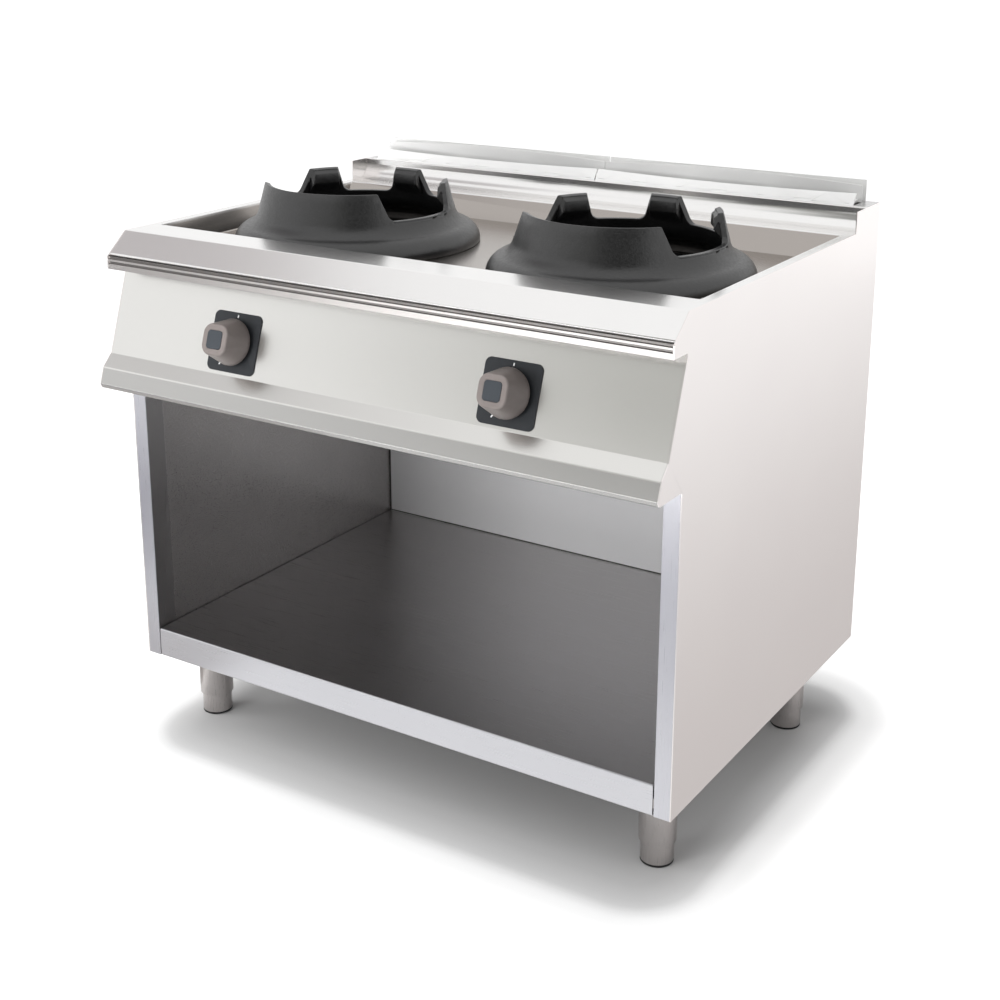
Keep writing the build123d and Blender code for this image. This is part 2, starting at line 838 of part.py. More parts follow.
# ---------------------------------------------------------------- burners
cup_inner = cup_radius - cup_wall
bowl_floor_z = well_z - bowl_depth
arm_z = cup_bottom + arm_drop
for name, sign in SIDES:
    center_x = sign * burner_spacing / 2
    axis = Axis((center_x, burner_y, 0), (0, 0, 1))
    section = Plane(origin=(center_x, burner_y, 0), x_dir=(1, 0, 0), z_dir=(0, -1, 0))
    pair = (
        (pilot_radius, (center_x + pilot_reach, burner_y + pilot_pitch / 2)),
        (thermocouple_radius, (center_x + pilot_reach, burner_y - pilot_pitch / 2)),
    )

    with BuildPart() as drip_bowl:
        with BuildSketch(section):
            add(
                folded_sheet(
                    [
                        (bowl_rim_radius, well_z + bowl_sheet),
                        (hob_hole_radius - bowl_clearance, well_z + bowl_sheet),
                        (bowl_floor_radius, bowl_floor_z + bowl_sheet),
                        (cup_radius + cup_gap, bowl_floor_z + bowl_sheet),
                    ],
                    bowl_clearance,
                    bowl_sheet,
                    Side.LEFT,
                )
            )
        revolve(axis=axis)
        for radius, place in pair:
            with Locations((*place, bowl_floor_z)):
                Cylinder(radius + pilot_clearance, 3 * bowl_sheet, mode=Mode.SUBTRACT)
    save(drip_bowl.part, f"drip_bowl_{name}")

    with BuildPart() as burner_cup:
        with Locations((center_x, burner_y, cup_bottom)):
            Cylinder(cup_radius, cup_top - cup_bottom, align=upward)
        mouth = Plane(
            origin=(center_x, front_y + venturi_mouth, venturi_z), x_dir=(1, 0, 0), z_dir=(0, 1, 0)
        )
        with Locations(mouth):
            Cylinder(venturi_radius, venturi_length, align=upward)
            Cone(
                venturi_radius + venturi_flare, venturi_radius, venturi_flare_length, align=upward
            )
        with Locations((center_x + cup_inner + arm_length / 2, burner_y, arm_z)):
            Box(arm_length + cup_wall, arm_width, arm_thickness, align=upward)
        with Locations((center_x, burner_y, cup_bottom + cup_wall)):
            Cylinder(cup_inner, cup_top, align=upward, mode=Mode.SUBTRACT)
        with Locations(mouth):
            bore = venturi_radius - venturi_wall
            Cylinder(bore, venturi_length, align=upward, mode=Mode.SUBTRACT)
            Cone(
                bore + venturi_flare, bore, venturi_flare_length, align=upward, mode=Mode.SUBTRACT
            )
        for radius, place in pair:
            with Locations((*place, arm_z)):
                Cylinder(
                    radius + seat_clearance, arm_thickness, align=upward, mode=Mode.SUBTRACT
                )
    save(burner_cup.part, f"burner_cup_{name}")

    with BuildPart() as burner_cap:
        spigot = cup_inner - cap_clearance
        bore = spigot - cap_wall
        shoulder_z = cup_top + cap_height - cap_crown
        with BuildSketch(section):
            with BuildLine():
                Polyline(
                    (0, shoulder_z - cap_wall + cap_crown),
                    (bore, shoulder_z - cap_wall),
                    (bore, cup_top - cap_spigot_height),
                    (spigot, cup_top - cap_spigot_height),
                    (spigot, cup_top),
                    (cap_radius, cup_top),
                    (cap_radius, shoulder_z),
                    (cap_flat_radius, cup_top + cap_height),
                    (0, cup_top + cap_height),
                    close=True,
                )
            make_face()
        revolve(axis=axis)
        port_z = cup_top + (shoulder_z - cup_top) / 2
        for turn in range(cap_port_count):
            angle = radians(full_turn * turn / cap_port_count)
            port = Plane(
                origin=(center_x, burner_y, port_z), z_dir=(cos(angle), sin(angle), 0)
            )
            with Locations(port):
                Cylinder(cap_port_radius, cap_radius, align=upward, mode=Mode.SUBTRACT)
    save(burner_cap.part, f"burner_cap_{name}")

# One strip per burner, folded twice: it carries the cup and holds the injector.
ceiling_top = ceiling_z + lining_sheet
seat_back = front_y + burner_depth + bracket_seat / 2
seat_front = front_y + burner_depth - bracket_seat / 2
with BuildPart() as burner_brackets:
    for _, sign in SIDES:
        with BuildSketch(Plane.YZ.offset(sign * burner_spacing / 2)):
            add(
                folded_sheet(
                    [
                        (seat_back, cup_bottom),
                        (seat_front, cup_bottom),
                        (seat_front, ceiling_top + bracket_bar),
                        (front_y + injector_seat, ceiling_top + bracket_bar),
                        (front_y + injector_seat, venturi_z + 2 * injector_radius),
                    ],
                    bracket_bar,
                    bracket_bar,
                    Side.LEFT,
                )
            )
        extrude(amount=bracket_width / 2, both=True)
    with Locations(
        *[
            Plane(
                origin=(sign * burner_spacing / 2, front_y + injector_seat, venturi_z),
                z_dir=(0, 1, 0),
            )
            for _, sign in SIDES
        ]
    ):
        Hole(radius=injector_radius + seat_clearance, depth=2 * bracket_bar)
save(burner_brackets.part, "burner_brackets")

with BuildPart() as injectors:
    for _, sign in SIDES:
        # the profile runs along the gas stream, from the pipe end to the orifice
        seat = Plane(
            origin=(sign * burner_spacing / 2, front_y + injector_seat, venturi_z),
            x_dir=(1, 0, 0),
            z_dir=(0, 1, 0),
        )
        with Locations(seat):
            Cylinder(injector_radius, injector_nose, align=upward)
            Cylinder(injector_collar, injector_collar_length, align=upward)
            Cylinder(injector_tip_radius, injector_nose + injector_tip_length, align=upward)
            Cylinder(injector_radius, injector_stub, align=(Align.CENTER, Align.CENTER, Align.MAX))
        with Locations(seat.offset(-injector_stub)):
            Cylinder(
                injector_bore, injector_stub + injector_nose, align=upward, mode=Mode.SUBTRACT
            )
            Cylinder(
                injector_orifice,
                injector_stub + injector_nose + injector_tip_length,
                align=upward,
                mode=Mode.SUBTRACT,
            )
save(injectors.part, "injectors")

for name, radius, turn in (("pilots", pilot_radius, 1), ("thermocouples", thermocouple_radius, -1)):
    with BuildPart() as stems:
        for _, sign in SIDES:
            place = (sign * burner_spacing / 2 + pilot_reach, burner_y + turn * pilot_pitch / 2)
            with Locations((*place, arm_z - pilot_stub)):
                Cylinder(radius, pilot_length, align=upward)
            with Locations((*place, arm_z + arm_thickness)):
                Cylinder(radius + pilot_collar, pilot_collar, align=upward)
    save(stems.part, name)

# ---------------------------------------------------------------- taps
downward = (Align.CENTER, Align.CENTER, Align.MAX)
plug_top = tap_set_back + tap_bonnet + tap_plug_play
plug_foot = tap_set_back + tap_length - tap_floor - tap_plug_play
spindle_foot = plug_foot - tap_floor - knob_push
spindle_end = knob_base + spindle_in_knob

for name, sign in SIDES:
    with BuildPart() as tap_body:
        with Locations(tap_plane(sign, -tap_set_back)):
            Cylinder(tap_radius, tap_length, align=downward)
        boss = Plane(origin=tap_point(sign, -tap_mid), x_dir=(1, 0, 0), z_dir=up_slope)
        with Locations(boss):
            Cylinder(tap_boss_radius, tap_boss_reach, align=upward)
            Cylinder(tap_boss_radius, tap_boss_reach, align=downward)
            Cylinder(tap_port_radius, 2 * tap_boss_reach, mode=Mode.SUBTRACT)
        with Locations(tap_plane(sign, -tap_set_back - tap_bonnet)):
            Cylinder(
                tap_plug_radius + tap_plug_clearance,
                tap_length - tap_bonnet - tap_floor,
                align=downward,
                mode=Mode.SUBTRACT,
            )
        with Locations(tap_plane(sign, -tap_set_back)):
            Cylinder(
                spindle_radius + spindle_clearance, 2 * tap_bonnet, mode=Mode.SUBTRACT
            )
    save(tap_body.part, f"tap_body_{name}")

    # The plug's gas port lies across the body's ports while the tap is shut.
    with BuildPart() as tap_plug:
        with Locations(tap_plane(sign, -plug_top)):
            Cylinder(tap_plug_radius, plug_foot - plug_top, align=downward)
            Cylinder(
                spindle_radius + spindle_clearance,
                plug_foot - plug_top - tap_floor,
                align=downward,
                mode=Mode.SUBTRACT,
            )
        with Locations(Plane(origin=tap_point(sign, -tap_mid), z_dir=(1, 0, 0))):
            Cylinder(tap_port_radius, 2 * tap_radius, mode=Mode.SUBTRACT)
    save(tap_plug.part, f"tap_plug_{name}")

    with BuildPart() as tap_spindle:
        with Locations(tap_plane(sign, spindle_end)):
            Cylinder(spindle_radius, spindle_end + spindle_foot, align=downward)
    save(tap_spindle.part, f"tap_spindle_{name}")

    with BuildPart() as knob:
        skirt = 2 * knob_skirt_radius
        with BuildSketch(tap_plane(sign, knob_base)):
            Circle(knob_skirt_radius)
        extrude(amount=knob_skirt_edge)
        with BuildSketch(tap_plane(sign, knob_base + knob_skirt_edge)):
            RectangleRounded(skirt, skirt, knob_skirt_radius - pad_clearance)
        with BuildSketch(tap_plane(sign, knob_height)):
            RectangleRounded(knob_face_size, knob_face_size, knob_face_radius)
        loft(ruled=True)
        face = knob.faces().sort_by(Axis(tap_point(sign, 0), out_of_panel))[-1]
        fillet(face.edges(), knob_face_fillet)
        with BuildSketch(tap_plane(sign, knob_height)):
            RectangleRounded(
                pad_size + 2 * pad_clearance,
                pad_size + 2 * pad_clearance,
                pad_corner_radius + pad_clearance,
            )
        extrude(amount=-pad_depth, mode=Mode.SUBTRACT)
        with Locations(tap_plane(sign, knob_base)):
            Cylinder(
                knob_skirt_radius - knob_skirt_wall,
                2 * knob_skirt_depth,
                mode=Mode.SUBTRACT,
            )
            Cylinder(
                spindle_radius + spindle_clearance,
                spindle_in_knob,
                align=upward,
                mode=Mode.SUBTRACT,
            )
    save(knob.part, f"knob_{name}")

    with BuildPart() as knob_pad:
        with BuildSketch(tap_plane(sign, knob_height - pad_depth)):
            RectangleRounded(pad_size, pad_size, pad_corner_radius)
        extrude(amount=pad_depth + pad_proud)
    save(knob_pad.part, f"knob_pad_{name}")

    with BuildPart() as knob_plate:
        with BuildSketch(tap_plane(sign)):
            RectangleRounded(plate_size, plate_size, plate_corner_radius)
            Circle(spindle_radius + spindle_hole_clearance, mode=Mode.SUBTRACT)
        extrude(amount=plate_thickness)
    save(knob_plate.part, f"knob_plate_{name}")

with BuildPart() as dial_marks:
    for _, sign in SIDES:
        with BuildSketch(tap_plane(sign, plate_thickness)):
            for angle in mark_angles:
                with PolarLocations(mark_radius, 1, start_angle=90 + angle):
                    Rectangle(mark_length, mark_width)
        extrude(amount=mark_height)
save(dial_marks.part, "dial_marks")

# ---------------------------------------------------------------- gas line
line_y, line_z = tap_point(1, -tap_mid, -manifold_drop)[1:]
with BuildPart() as manifold:
    with BuildLine() as route:
        FilletPolyline(
            (-burner_spacing / 2 - manifold_overhang, line_y, line_z),
            (manifold_side, line_y, line_z),
            (manifold_side, front_y + riser_depth, line_z),
            (manifold_side, front_y + riser_depth, inlet_seat),
            radius=manifold_bend_radius,
        )
    with BuildSketch(Plane(origin=route.line @ 0, z_dir=route.line % 0)):
        Circle(manifold_radius)
        Circle(manifold_radius - manifold_wall, mode=Mode.SUBTRACT)
    sweep()
    with Locations(Plane(origin=route.line @ 0, z_dir=route.line % 0)):
        Cylinder(manifold_radius, manifold_cap, align=upward)
    for _, sign in SIDES:
        middle = tap_point(sign, -tap_mid, -manifold_drop)
        with Locations(Plane(origin=middle, x_dir=(1, 0, 0), z_dir=up_slope)):
            Cylinder(tap_boss_radius, manifold_drop - tap_boss_reach, align=upward)
            Cylinder(tap_port_radius, manifold_drop, align=upward, mode=Mode.SUBTRACT)
        with Locations(Plane(origin=middle, z_dir=(1, 0, 0))):
            Cylinder(
                manifold_radius - manifold_wall, 4 * tap_boss_radius, mode=Mode.SUBTRACT
            )
save(manifold.part, "manifold")

for name, sign in SIDES:
    with BuildPart() as supply_pipe:
        start = tap_point(sign, -tap_mid, tap_boss_reach)
        climb = (venturi_z - start[2]) / cos(slope)
        corner = tap_point(sign, -tap_mid, tap_boss_reach + climb)
        with BuildLine() as route:
            FilletPolyline(
                start,
                corner,
                (corner[0], front_y + injector_seat - injector_stub, venturi_z),
                radius=supply_bend_radius,
            )
        with BuildSketch(Plane(origin=start, x_dir=(1, 0, 0), z_dir=up_slope)):
            Circle(supply_radius)
            Circle(supply_radius - supply_wall, mode=Mode.SUBTRACT)
        sweep()
    save(supply_pipe.part, f"supply_pipe_{name}")

with BuildPart() as gas_inlet:
    with Locations((manifold_side, front_y + riser_depth, cabinet_bottom + rear_sheet)):
        Cylinder(inlet_radius, inlet_projection + rear_sheet, align=downward)
    with BuildSketch(Plane.XY.offset(cabinet_bottom + rear_sheet)):
        with Locations((manifold_side, front_y + riser_depth)):
            RegularPolygon(inlet_hex / 2, inlet_hex_sides, major_radius=False)
    extrude(amount=inlet_hex_thickness)
    with Locations((manifold_side, front_y + riser_depth, inlet_seat)):
        Cylinder(inlet_bore, inlet_seat, align=downward, mode=Mode.SUBTRACT)
save(gas_inlet.part, "gas_inlet")
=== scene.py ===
# %% [markdown]
# # A two-ring gas wok range
# The object is a free-standing kitchen range, one metre wide. Folded stainless sheet makes its
# whole body, two cast-iron rings stand in a recess of its worktop, and an open cabinet is below.
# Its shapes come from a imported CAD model, which is the fixed frame here. Blender adds what CAD
# leaves out: soft edges, finishes, light and a camera.

from math import atan2, cos, pi, radians, sin

import bmesh
import bpy
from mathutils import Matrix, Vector


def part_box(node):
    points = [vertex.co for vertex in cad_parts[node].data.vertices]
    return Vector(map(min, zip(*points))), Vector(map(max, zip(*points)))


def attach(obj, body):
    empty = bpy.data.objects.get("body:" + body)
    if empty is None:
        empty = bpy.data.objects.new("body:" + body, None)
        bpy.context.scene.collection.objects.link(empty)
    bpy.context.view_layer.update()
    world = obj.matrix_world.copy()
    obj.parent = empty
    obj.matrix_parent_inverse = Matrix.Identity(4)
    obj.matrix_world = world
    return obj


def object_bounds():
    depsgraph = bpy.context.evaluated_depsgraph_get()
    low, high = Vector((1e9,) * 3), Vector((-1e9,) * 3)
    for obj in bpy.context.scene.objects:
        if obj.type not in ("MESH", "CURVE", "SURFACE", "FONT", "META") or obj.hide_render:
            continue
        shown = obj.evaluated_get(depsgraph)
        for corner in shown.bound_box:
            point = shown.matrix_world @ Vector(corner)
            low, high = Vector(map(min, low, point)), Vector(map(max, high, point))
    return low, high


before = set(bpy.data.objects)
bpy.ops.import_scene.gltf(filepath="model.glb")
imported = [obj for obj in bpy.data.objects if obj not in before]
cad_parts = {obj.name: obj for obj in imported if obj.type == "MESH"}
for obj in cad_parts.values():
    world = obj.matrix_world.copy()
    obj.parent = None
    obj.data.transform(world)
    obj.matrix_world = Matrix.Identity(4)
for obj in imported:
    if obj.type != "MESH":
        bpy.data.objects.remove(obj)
cad_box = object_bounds()
MM = 0.001
print("nodes", len(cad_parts), "box in mm", [round(c / MM) for c in cad_box[1] - cad_box[0]])

# %% [markdown]
# ## Colours
# A listed colour is an sRGB value, but a shader works with linear light. One function
# turns the hex value to linear, so that the hex values below read as they look.

# %% Colour from hex
def linear(hex_value):
    """An sRGB hex string such as "#8c8c8c" as the linear colour that a shader takes."""
    parts = [int(hex_value[i : i + 2], 16) / 255 for i in (1, 3, 5)]
    return [c / 12.92 if c <= 0.04045 else ((c + 0.055) / 1.055) ** 2.4 for c in parts] + [1.0]


print("mid grey is", [round(c, 3) for c in linear("#8c8c8c")])

# %% [markdown]
# ## Adding nodes
# A procedural finish is a small graph. Nodes could be wired one by one, with three or four
# lines for each, but then the graph is hard to read. This helper adds a node, fills its settings
# and feeds its sockets in one call, so each finish below reads as a list of what it is made of.
# A Noise node gives values mostly from 0.3 to 0.7, so roughness is always mapped from that range.
# Sizes in the finishes are in millimetres, and MM turns them into the metres of the frame.

# %% Node helper
def add_node(tree, kind, settings=None, links=None):
    """Adds a shader node. Settings fill sockets or options, links feed sockets from outputs."""
    node = tree.nodes.new(kind)
    for key, value in (settings or {}).items():
        if isinstance(key, int) or key in node.inputs.keys():
            node.inputs[key].default_value = value
        else:
            setattr(node, key, value)
    for key, source in (links or {}).items():
        tree.links.new(source, node.inputs[key])
    return node


def empty_finish(name):
    """An empty material, its tree, and the object coordinates that its patterns are drawn in."""
    finish = bpy.data.materials.new(name)
    finish.use_nodes = True
    tree = finish.node_tree
    tree.nodes.clear()
    place = add_node(tree, "ShaderNodeTexCoord").outputs["Object"]
    return finish, tree, place


def new_finish(name, **sockets):
    """An empty material with a shader that has those sockets set and feeds the surface."""
    finish, tree, place = empty_finish(name)
    shader = add_node(tree, "ShaderNodeBsdfPrincipled", sockets)
    add_node(tree, "ShaderNodeOutputMaterial", links={"Surface": shader.outputs[0]})
    return finish, tree, shader, place


NOISE_LOW, NOISE_HIGH = 0.3, 0.7
# The Mix node's colour sockets have the same names as its number sockets, so they go by index.
COLOUR_A, COLOUR_B, COLOUR_OUT = 6, 7, 2
print("node helpers ready")

# %% [markdown]
# ## Shading by place
# Some sheets get a painted shade in one place, such as below the fold of a hem. A second material
# would need a seam in the CAD mesh, which stays as it is, and a painted mask would need an image.
# Here a box marks the place, in coordinates that move with the sheet. How far a point is outside
# the box is worked out on each axis, and the largest of the three decides.

# %% Box mask
def inside_box(tree, place, low, high, rim=1.5):
    """A mask of 1 inside a box and 0 outside it, softened over its rim, all in millimetres."""
    centre = [(a + b) / 2 * MM for a, b in zip(low, high)]
    half = [(b - a) / 2 * MM for a, b in zip(low, high)]
    from_centre = add_node(
        tree, "ShaderNodeVectorMath", {"operation": "SUBTRACT", 1: centre}, {0: place}
    )
    folded = add_node(
        tree, "ShaderNodeVectorMath", {"operation": "ABSOLUTE"}, {0: from_centre.outputs[0]}
    )
    beyond = add_node(
        tree, "ShaderNodeVectorMath", {"operation": "SUBTRACT", 1: half}, {0: folded.outputs[0]}
    )
    axes = add_node(tree, "ShaderNodeSeparateXYZ", links={0: beyond.outputs[0]}).outputs
    sideways = add_node(
        tree, "ShaderNodeMath", {"operation": "MAXIMUM"}, {0: axes[0], 1: axes[1]}
    )
    furthest = add_node(
        tree, "ShaderNodeMath", {"operation": "MAXIMUM"}, {0: sideways.outputs[0], 1: axes[2]}
    )
    return add_node(
        tree,
        "ShaderNodeMapRange",
        {"From Min": 0.0, "From Max": -rim * MM},
        {"Value": furthest.outputs[0]},
    ).outputs[0]


print("box mask ready")

# %% [markdown]
# ## Belt-ground stainless sheet
# The body is 304 stainless sheet with a ground satin finish. A belt leaves fine parallel
# scratches about 0.05 mm apart. That is too fine for this picture, so they are drawn about 1 mm
# apart and long. To the eye they give a soft reflection with a faint grain along the sheet.
# The sheet is never quite flat either: slow waves, a quarter of a metre long, make reflections
# wander. An image of real scratches could be laid on, but noise stretched along one axis needs
# no file and never repeats. Grinding runs along each sheet, so each has its own direction.
# A metal has no colour of its own below its shine, so its base colour is the shade it mirrors in.

# %% Belt-ground stainless
SCRATCH_PITCH = 1.1
SCRATCH_LENGTH = 80
SMEAR_SIZE = 160
WAVE_SIZE = 260
SCRATCH_DEPTH = 0.0003
WAVE_DEPTH = 0.06


def belt_ground_stainless(name, along, dull, bright, rough, duller=None, metallic=1.0):
    """Satin 304 sheet, with scratches stretched on each axis by the numbers in along.

    An optional box and darker shade paint shade on the sheet: inside the box, it has that shade
    instead.
    """
    finish, tree, shader, place = new_finish(name, Metallic=metallic)
    stretched = add_node(
        tree, "ShaderNodeMapping", {"Scale": [1 / s for s in along]}, {"Vector": place}
    )
    scratches = add_node(
        tree,
        "ShaderNodeTexNoise",
        {"Scale": 1 / (SCRATCH_PITCH * MM), "Detail": 2.0, "Roughness": 0.6},
        {"Vector": stretched.outputs[0]},
    )
    smears = add_node(
        tree,
        "ShaderNodeTexNoise",
        {"Scale": 1 / (SMEAR_SIZE * MM), "Detail": 2.0},
        {"Vector": place},
    )
    waves = add_node(
        tree,
        "ShaderNodeTexNoise",
        {"Scale": 1 / (WAVE_SIZE * MM), "Detail": 0.0},
        {"Vector": place},
    )
    shade = add_node(
        tree,
        "ShaderNodeMix",
        {"data_type": "RGBA", COLOUR_A: linear(dull), COLOUR_B: linear(bright)},
        {0: smears.outputs[0]},
    )
    # Painted shade: inside the box the sheet's colour turns to the darker shade.
    if duller:
        low, high, dull_shade = duller
        shade = add_node(
            tree,
            "ShaderNodeMix",
            {"data_type": "RGBA", COLOUR_B: linear(dull_shade)},
            {0: inside_box(tree, place, low, high), COLOUR_A: shade.outputs[COLOUR_OUT]},
        )
    satin = add_node(
        tree,
        "ShaderNodeMapRange",
        {"From Min": NOISE_LOW, "From Max": NOISE_HIGH, "To Min": rough[0], "To Max": rough[1]},
        {"Value": scratches.outputs[0]},
    )
    wavy = add_node(
        tree, "ShaderNodeBump", {"Distance": WAVE_DEPTH * MM}, {"Height": waves.outputs[0]}
    )
    grain = add_node(
        tree,
        "ShaderNodeBump",
        {"Distance": SCRATCH_DEPTH * MM},
        {"Height": scratches.outputs[0], "Normal": wavy.outputs[0]},
    )
    tree.links.new(shade.outputs[COLOUR_OUT], shader.inputs["Base Color"])
    tree.links.new(satin.outputs[0], shader.inputs["Roughness"])
    tree.links.new(grain.outputs[0], shader.inputs["Normal"])
    return finish


ACROSS = (SCRATCH_LENGTH, 1, 1)
INWARD = (1, SCRATCH_LENGTH, 1)
UPRIGHT = (1, 1, SCRATCH_LENGTH)
satin_side = belt_ground_stainless(
    "belt_ground_stainless_side", INWARD, "#f4efee", "#f8f4f2", (0.245, 0.26)
)
print("made", satin_side.name)

# %% [markdown]
# Two parts of the front get painted shade by their place. Below the fold of the hem at the foot of
# the panel, the sheet is painted darker, as painted shade. The rail is a greyer strip with two
# fine grooves along it, and the grooves are painted dark, as painted shade. Each shaded box
# reaches a little past the sheet, so that no face lies on the box's own edge.

# %% Panel and rail finish
HEM_FOLD = 657
GROOVE_DEPTH = 1.5
PAST = 1
panel_low, panel_high = (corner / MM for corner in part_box("control_panel"))
satin_panel = belt_ground_stainless(
    "belt_ground_stainless_with_painted_hem_shade",
    ACROSS,
    "#e6e5e2",
    "#eae9e6",
    (0.255, 0.27),
    (
        (panel_low.x - PAST, panel_low.y - PAST, panel_low.z - PAST),
        (panel_high.x + PAST, panel_high.y + PAST, HEM_FOLD),
        # painted shade below the fold of the hem
        "#c3c2c0",
    ),
)
PLAIN_ENDS = 1
rail_low, rail_high = (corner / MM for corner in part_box("front_rail"))
satin_rail = belt_ground_stainless(
    "belt_ground_stainless_with_painted_groove_shade",
    ACROSS,
    "#c8c4c2",
    "#cfcbc9",
    (0.22, 0.24),
    (
        (rail_low.x + PLAIN_ENDS, rail_low.y + GROOVE_DEPTH, rail_low.z - PAST),
        (rail_high.x - PLAIN_ENDS, rail_high.y + PAST, rail_high.z + PAST),
        # painted shade in the grooves
        "#7f7c7a",
    ),
)
print("hem below", HEM_FOLD, "grooves behind", round(rail_low.y + GROOVE_DEPTH))

# %% [markdown]
# The worktop is the same sheet, ground once more with a finer belt, so it looks nearly white.
# Its recess is painted a dull grey-brown, as painted shade in the recess. The recess is found
# from the rings, which stand in it with known gaps. Its box ends just under the worktop's ground
# top face and starts well under the recess.

# %% Worktop finish
WORKTOP_TOP = 870
GROUND_SKIN = 0.5
BELOW_RECESS = 700
RECESS_GAPS = {"side": 31, "front": 15, "rear": 91}
ring_low, ring_high = (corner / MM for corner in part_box("wok_ring_right"))
recess_side = ring_high.x + RECESS_GAPS["side"]
recess_low = (-recess_side, ring_low.y - RECESS_GAPS["front"], BELOW_RECESS)
recess_high = (recess_side, ring_high.y + RECESS_GAPS["rear"], WORKTOP_TOP - GROUND_SKIN)
satin_worktop = belt_ground_stainless(
    "fine_ground_stainless_with_painted_recess_shade",
    ACROSS,
    "#f1f0ef",
    "#f6f5f4",
    (0.225, 0.24),
    # painted shade: the recess is darker
    (recess_low, recess_high, "#aea8a3"),
)
print("recess from", [round(c) for c in recess_low], "to", [round(c) for c in recess_high])

# %% [markdown]
# ## Blasted blades on the flue
# The flue's blades were blasted with glass beads after they were welded, to hide the weld
# marks. That leaves a pale, matt skin that scatters light widely and shows no grain. The beads'
# dimples are about 0.1 mm wide and are drawn at about 2 mm, or they would not show. The function
# for ground sheet makes this finish too, with the same stretch on every axis. It is drawn only
# partly metallic, so that it also scatters the light of the lamps, as a blasted skin does.

# %% Bead-blasted stainless
BLASTED_STRETCH = (2, 2, 2)
bead_blasted = belt_ground_stainless(
    "bead_blasted_stainless", BLASTED_STRETCH, "#f3f3f2", "#f9f9f8", (0.48, 0.54), metallic=0.3
)
print("made", bead_blasted.name)

# %% [markdown]
# ## Coarser grain on the posts and the cabinet floor
# The narrow posts and the lip of the cabinet floor are cut from another sheet. It was ground
# with a coarser belt, so it scatters more light and looks a cold grey beside the panel. Its
# scratches are about 0.1 mm apart and are drawn as far apart as the fine ones. The floor's
# upper side and the inner sides of the posts, inside the cabinet, are painted darker, as
# painted shade.

# %% Coarse-ground stainless
floor_low, floor_high = (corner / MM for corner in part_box("cabinet_floor"))
LIP_DEPTH = 1
SKIN = 4
post_low, post_high = (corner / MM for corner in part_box("front_post_right"))
coarse_upright = belt_ground_stainless(
    "coarse_ground_stainless_upright",
    UPRIGHT,
    "#d0d0d6",
    "#d8d8dd",
    (0.27, 0.32),
    (
        (-post_high.x - PAST, post_low.y + LIP_DEPTH, post_low.z - PAST),
        (post_high.x + PAST, post_high.y + PAST, post_high.z + PAST),
        # painted shade on the posts' inner sides
        "#a4a2a2",
    ),
)
coarse_across = belt_ground_stainless(
    "coarse_ground_stainless_across",
    ACROSS,
    "#d4d4d8",
    "#dadade",
    (0.27, 0.32),
    (
        (floor_low.x - PAST, floor_low.y + LIP_DEPTH, floor_high.z - SKIN),
        (floor_high.x + PAST, floor_high.y + PAST, floor_high.z + SKIN),
        # painted shade on the floor's upper side
        "#a6a4a4",
    ),
)
print("made", coarse_upright.name, coarse_across.name)

# %% [markdown]
# ## Mill-finish sheet
# The cabinet's inside, the base frame and the duct are sheet as the rolling mill left it: rolled
# and pickled in acid. It has no grain to speak of, only a grey bloom with cloudy stains and a
# fine speckle, so it gives a soft, wide and rather dark reflection. The speckle is under 0.1 mm
# wide and is drawn at 1.5 mm. A tiled image would show its repeats on so many sheets, and two
# noises, one for the stains and one for the speckle, don't.

# %% Mill-finish sheet
# Painted shadow of the open joints along a sheet's rim.
JOINT_SHADE = "#4c4a48"
JOINT_WIDTH = 1.2
JOINT_RIM = 0.8
SPECKLE_SIZE = 1.5
SPECKLE_DEPTH = 0.002
STAIN_SIZE = 120


def mill_finish_sheet(name, dull, bright, rough, metallic, sealed=None):
    """Dull rolled and pickled stainless sheet. Outside the box, a painted joint shadow darkens its
    rim.
    """
    finish, tree, shader, place = new_finish(name, Metallic=metallic)
    speckle = add_node(
        tree,
        "ShaderNodeTexNoise",
        {"Scale": 1 / (SPECKLE_SIZE * MM), "Detail": 1.0},
        {"Vector": place},
    )
    stains = add_node(
        tree,
        "ShaderNodeTexNoise",
        {"Scale": 1 / (STAIN_SIZE * MM), "Detail": 3.0},
        {"Vector": place},
    )
    shade = add_node(
        tree,
        "ShaderNodeMix",
        {"data_type": "RGBA", COLOUR_A: linear(dull), COLOUR_B: linear(bright)},
        {0: stains.outputs[0]},
    )
    # Painted shadow along the open joints, outside the box.
    if sealed:
        shade = add_node(
            tree,
            "ShaderNodeMix",
            {"data_type": "RGBA", COLOUR_A: linear(JOINT_SHADE)},
            {0: inside_box(tree, place, *sealed, JOINT_RIM), COLOUR_B: shade.outputs[COLOUR_OUT]},
        )
    bloom = add_node(
        tree,
        "ShaderNodeMapRange",
        {"From Min": NOISE_LOW, "From Max": NOISE_HIGH, "To Min": rough[0], "To Max": rough[1]},
        {"Value": speckle.outputs[0]},
    )
    pits = add_node(
        tree, "ShaderNodeBump", {"Distance": SPECKLE_DEPTH * MM}, {"Height": speckle.outputs[0]}
    )
    tree.links.new(shade.outputs[COLOUR_OUT], shader.inputs["Base Color"])
    tree.links.new(bloom.outputs[0], shader.inputs["Roughness"])
    tree.links.new(pits.outputs[0], shader.inputs["Normal"])
    return finish


mill_sheet = mill_finish_sheet("mill_finish_sheet", "#cdcccc", "#d6d5d5", (0.24, 0.30), 0.8)
# Painted shade: the linings are a darker copy of the mill-finish sheet.
lining_sheet = mill_finish_sheet(
    "mill_sheet_with_painted_lining_shade", "#a9a6a5", "#b4b1b0", (0.26, 0.33), 0.9
)
print("made", mill_sheet.name, lining_sheet.name)
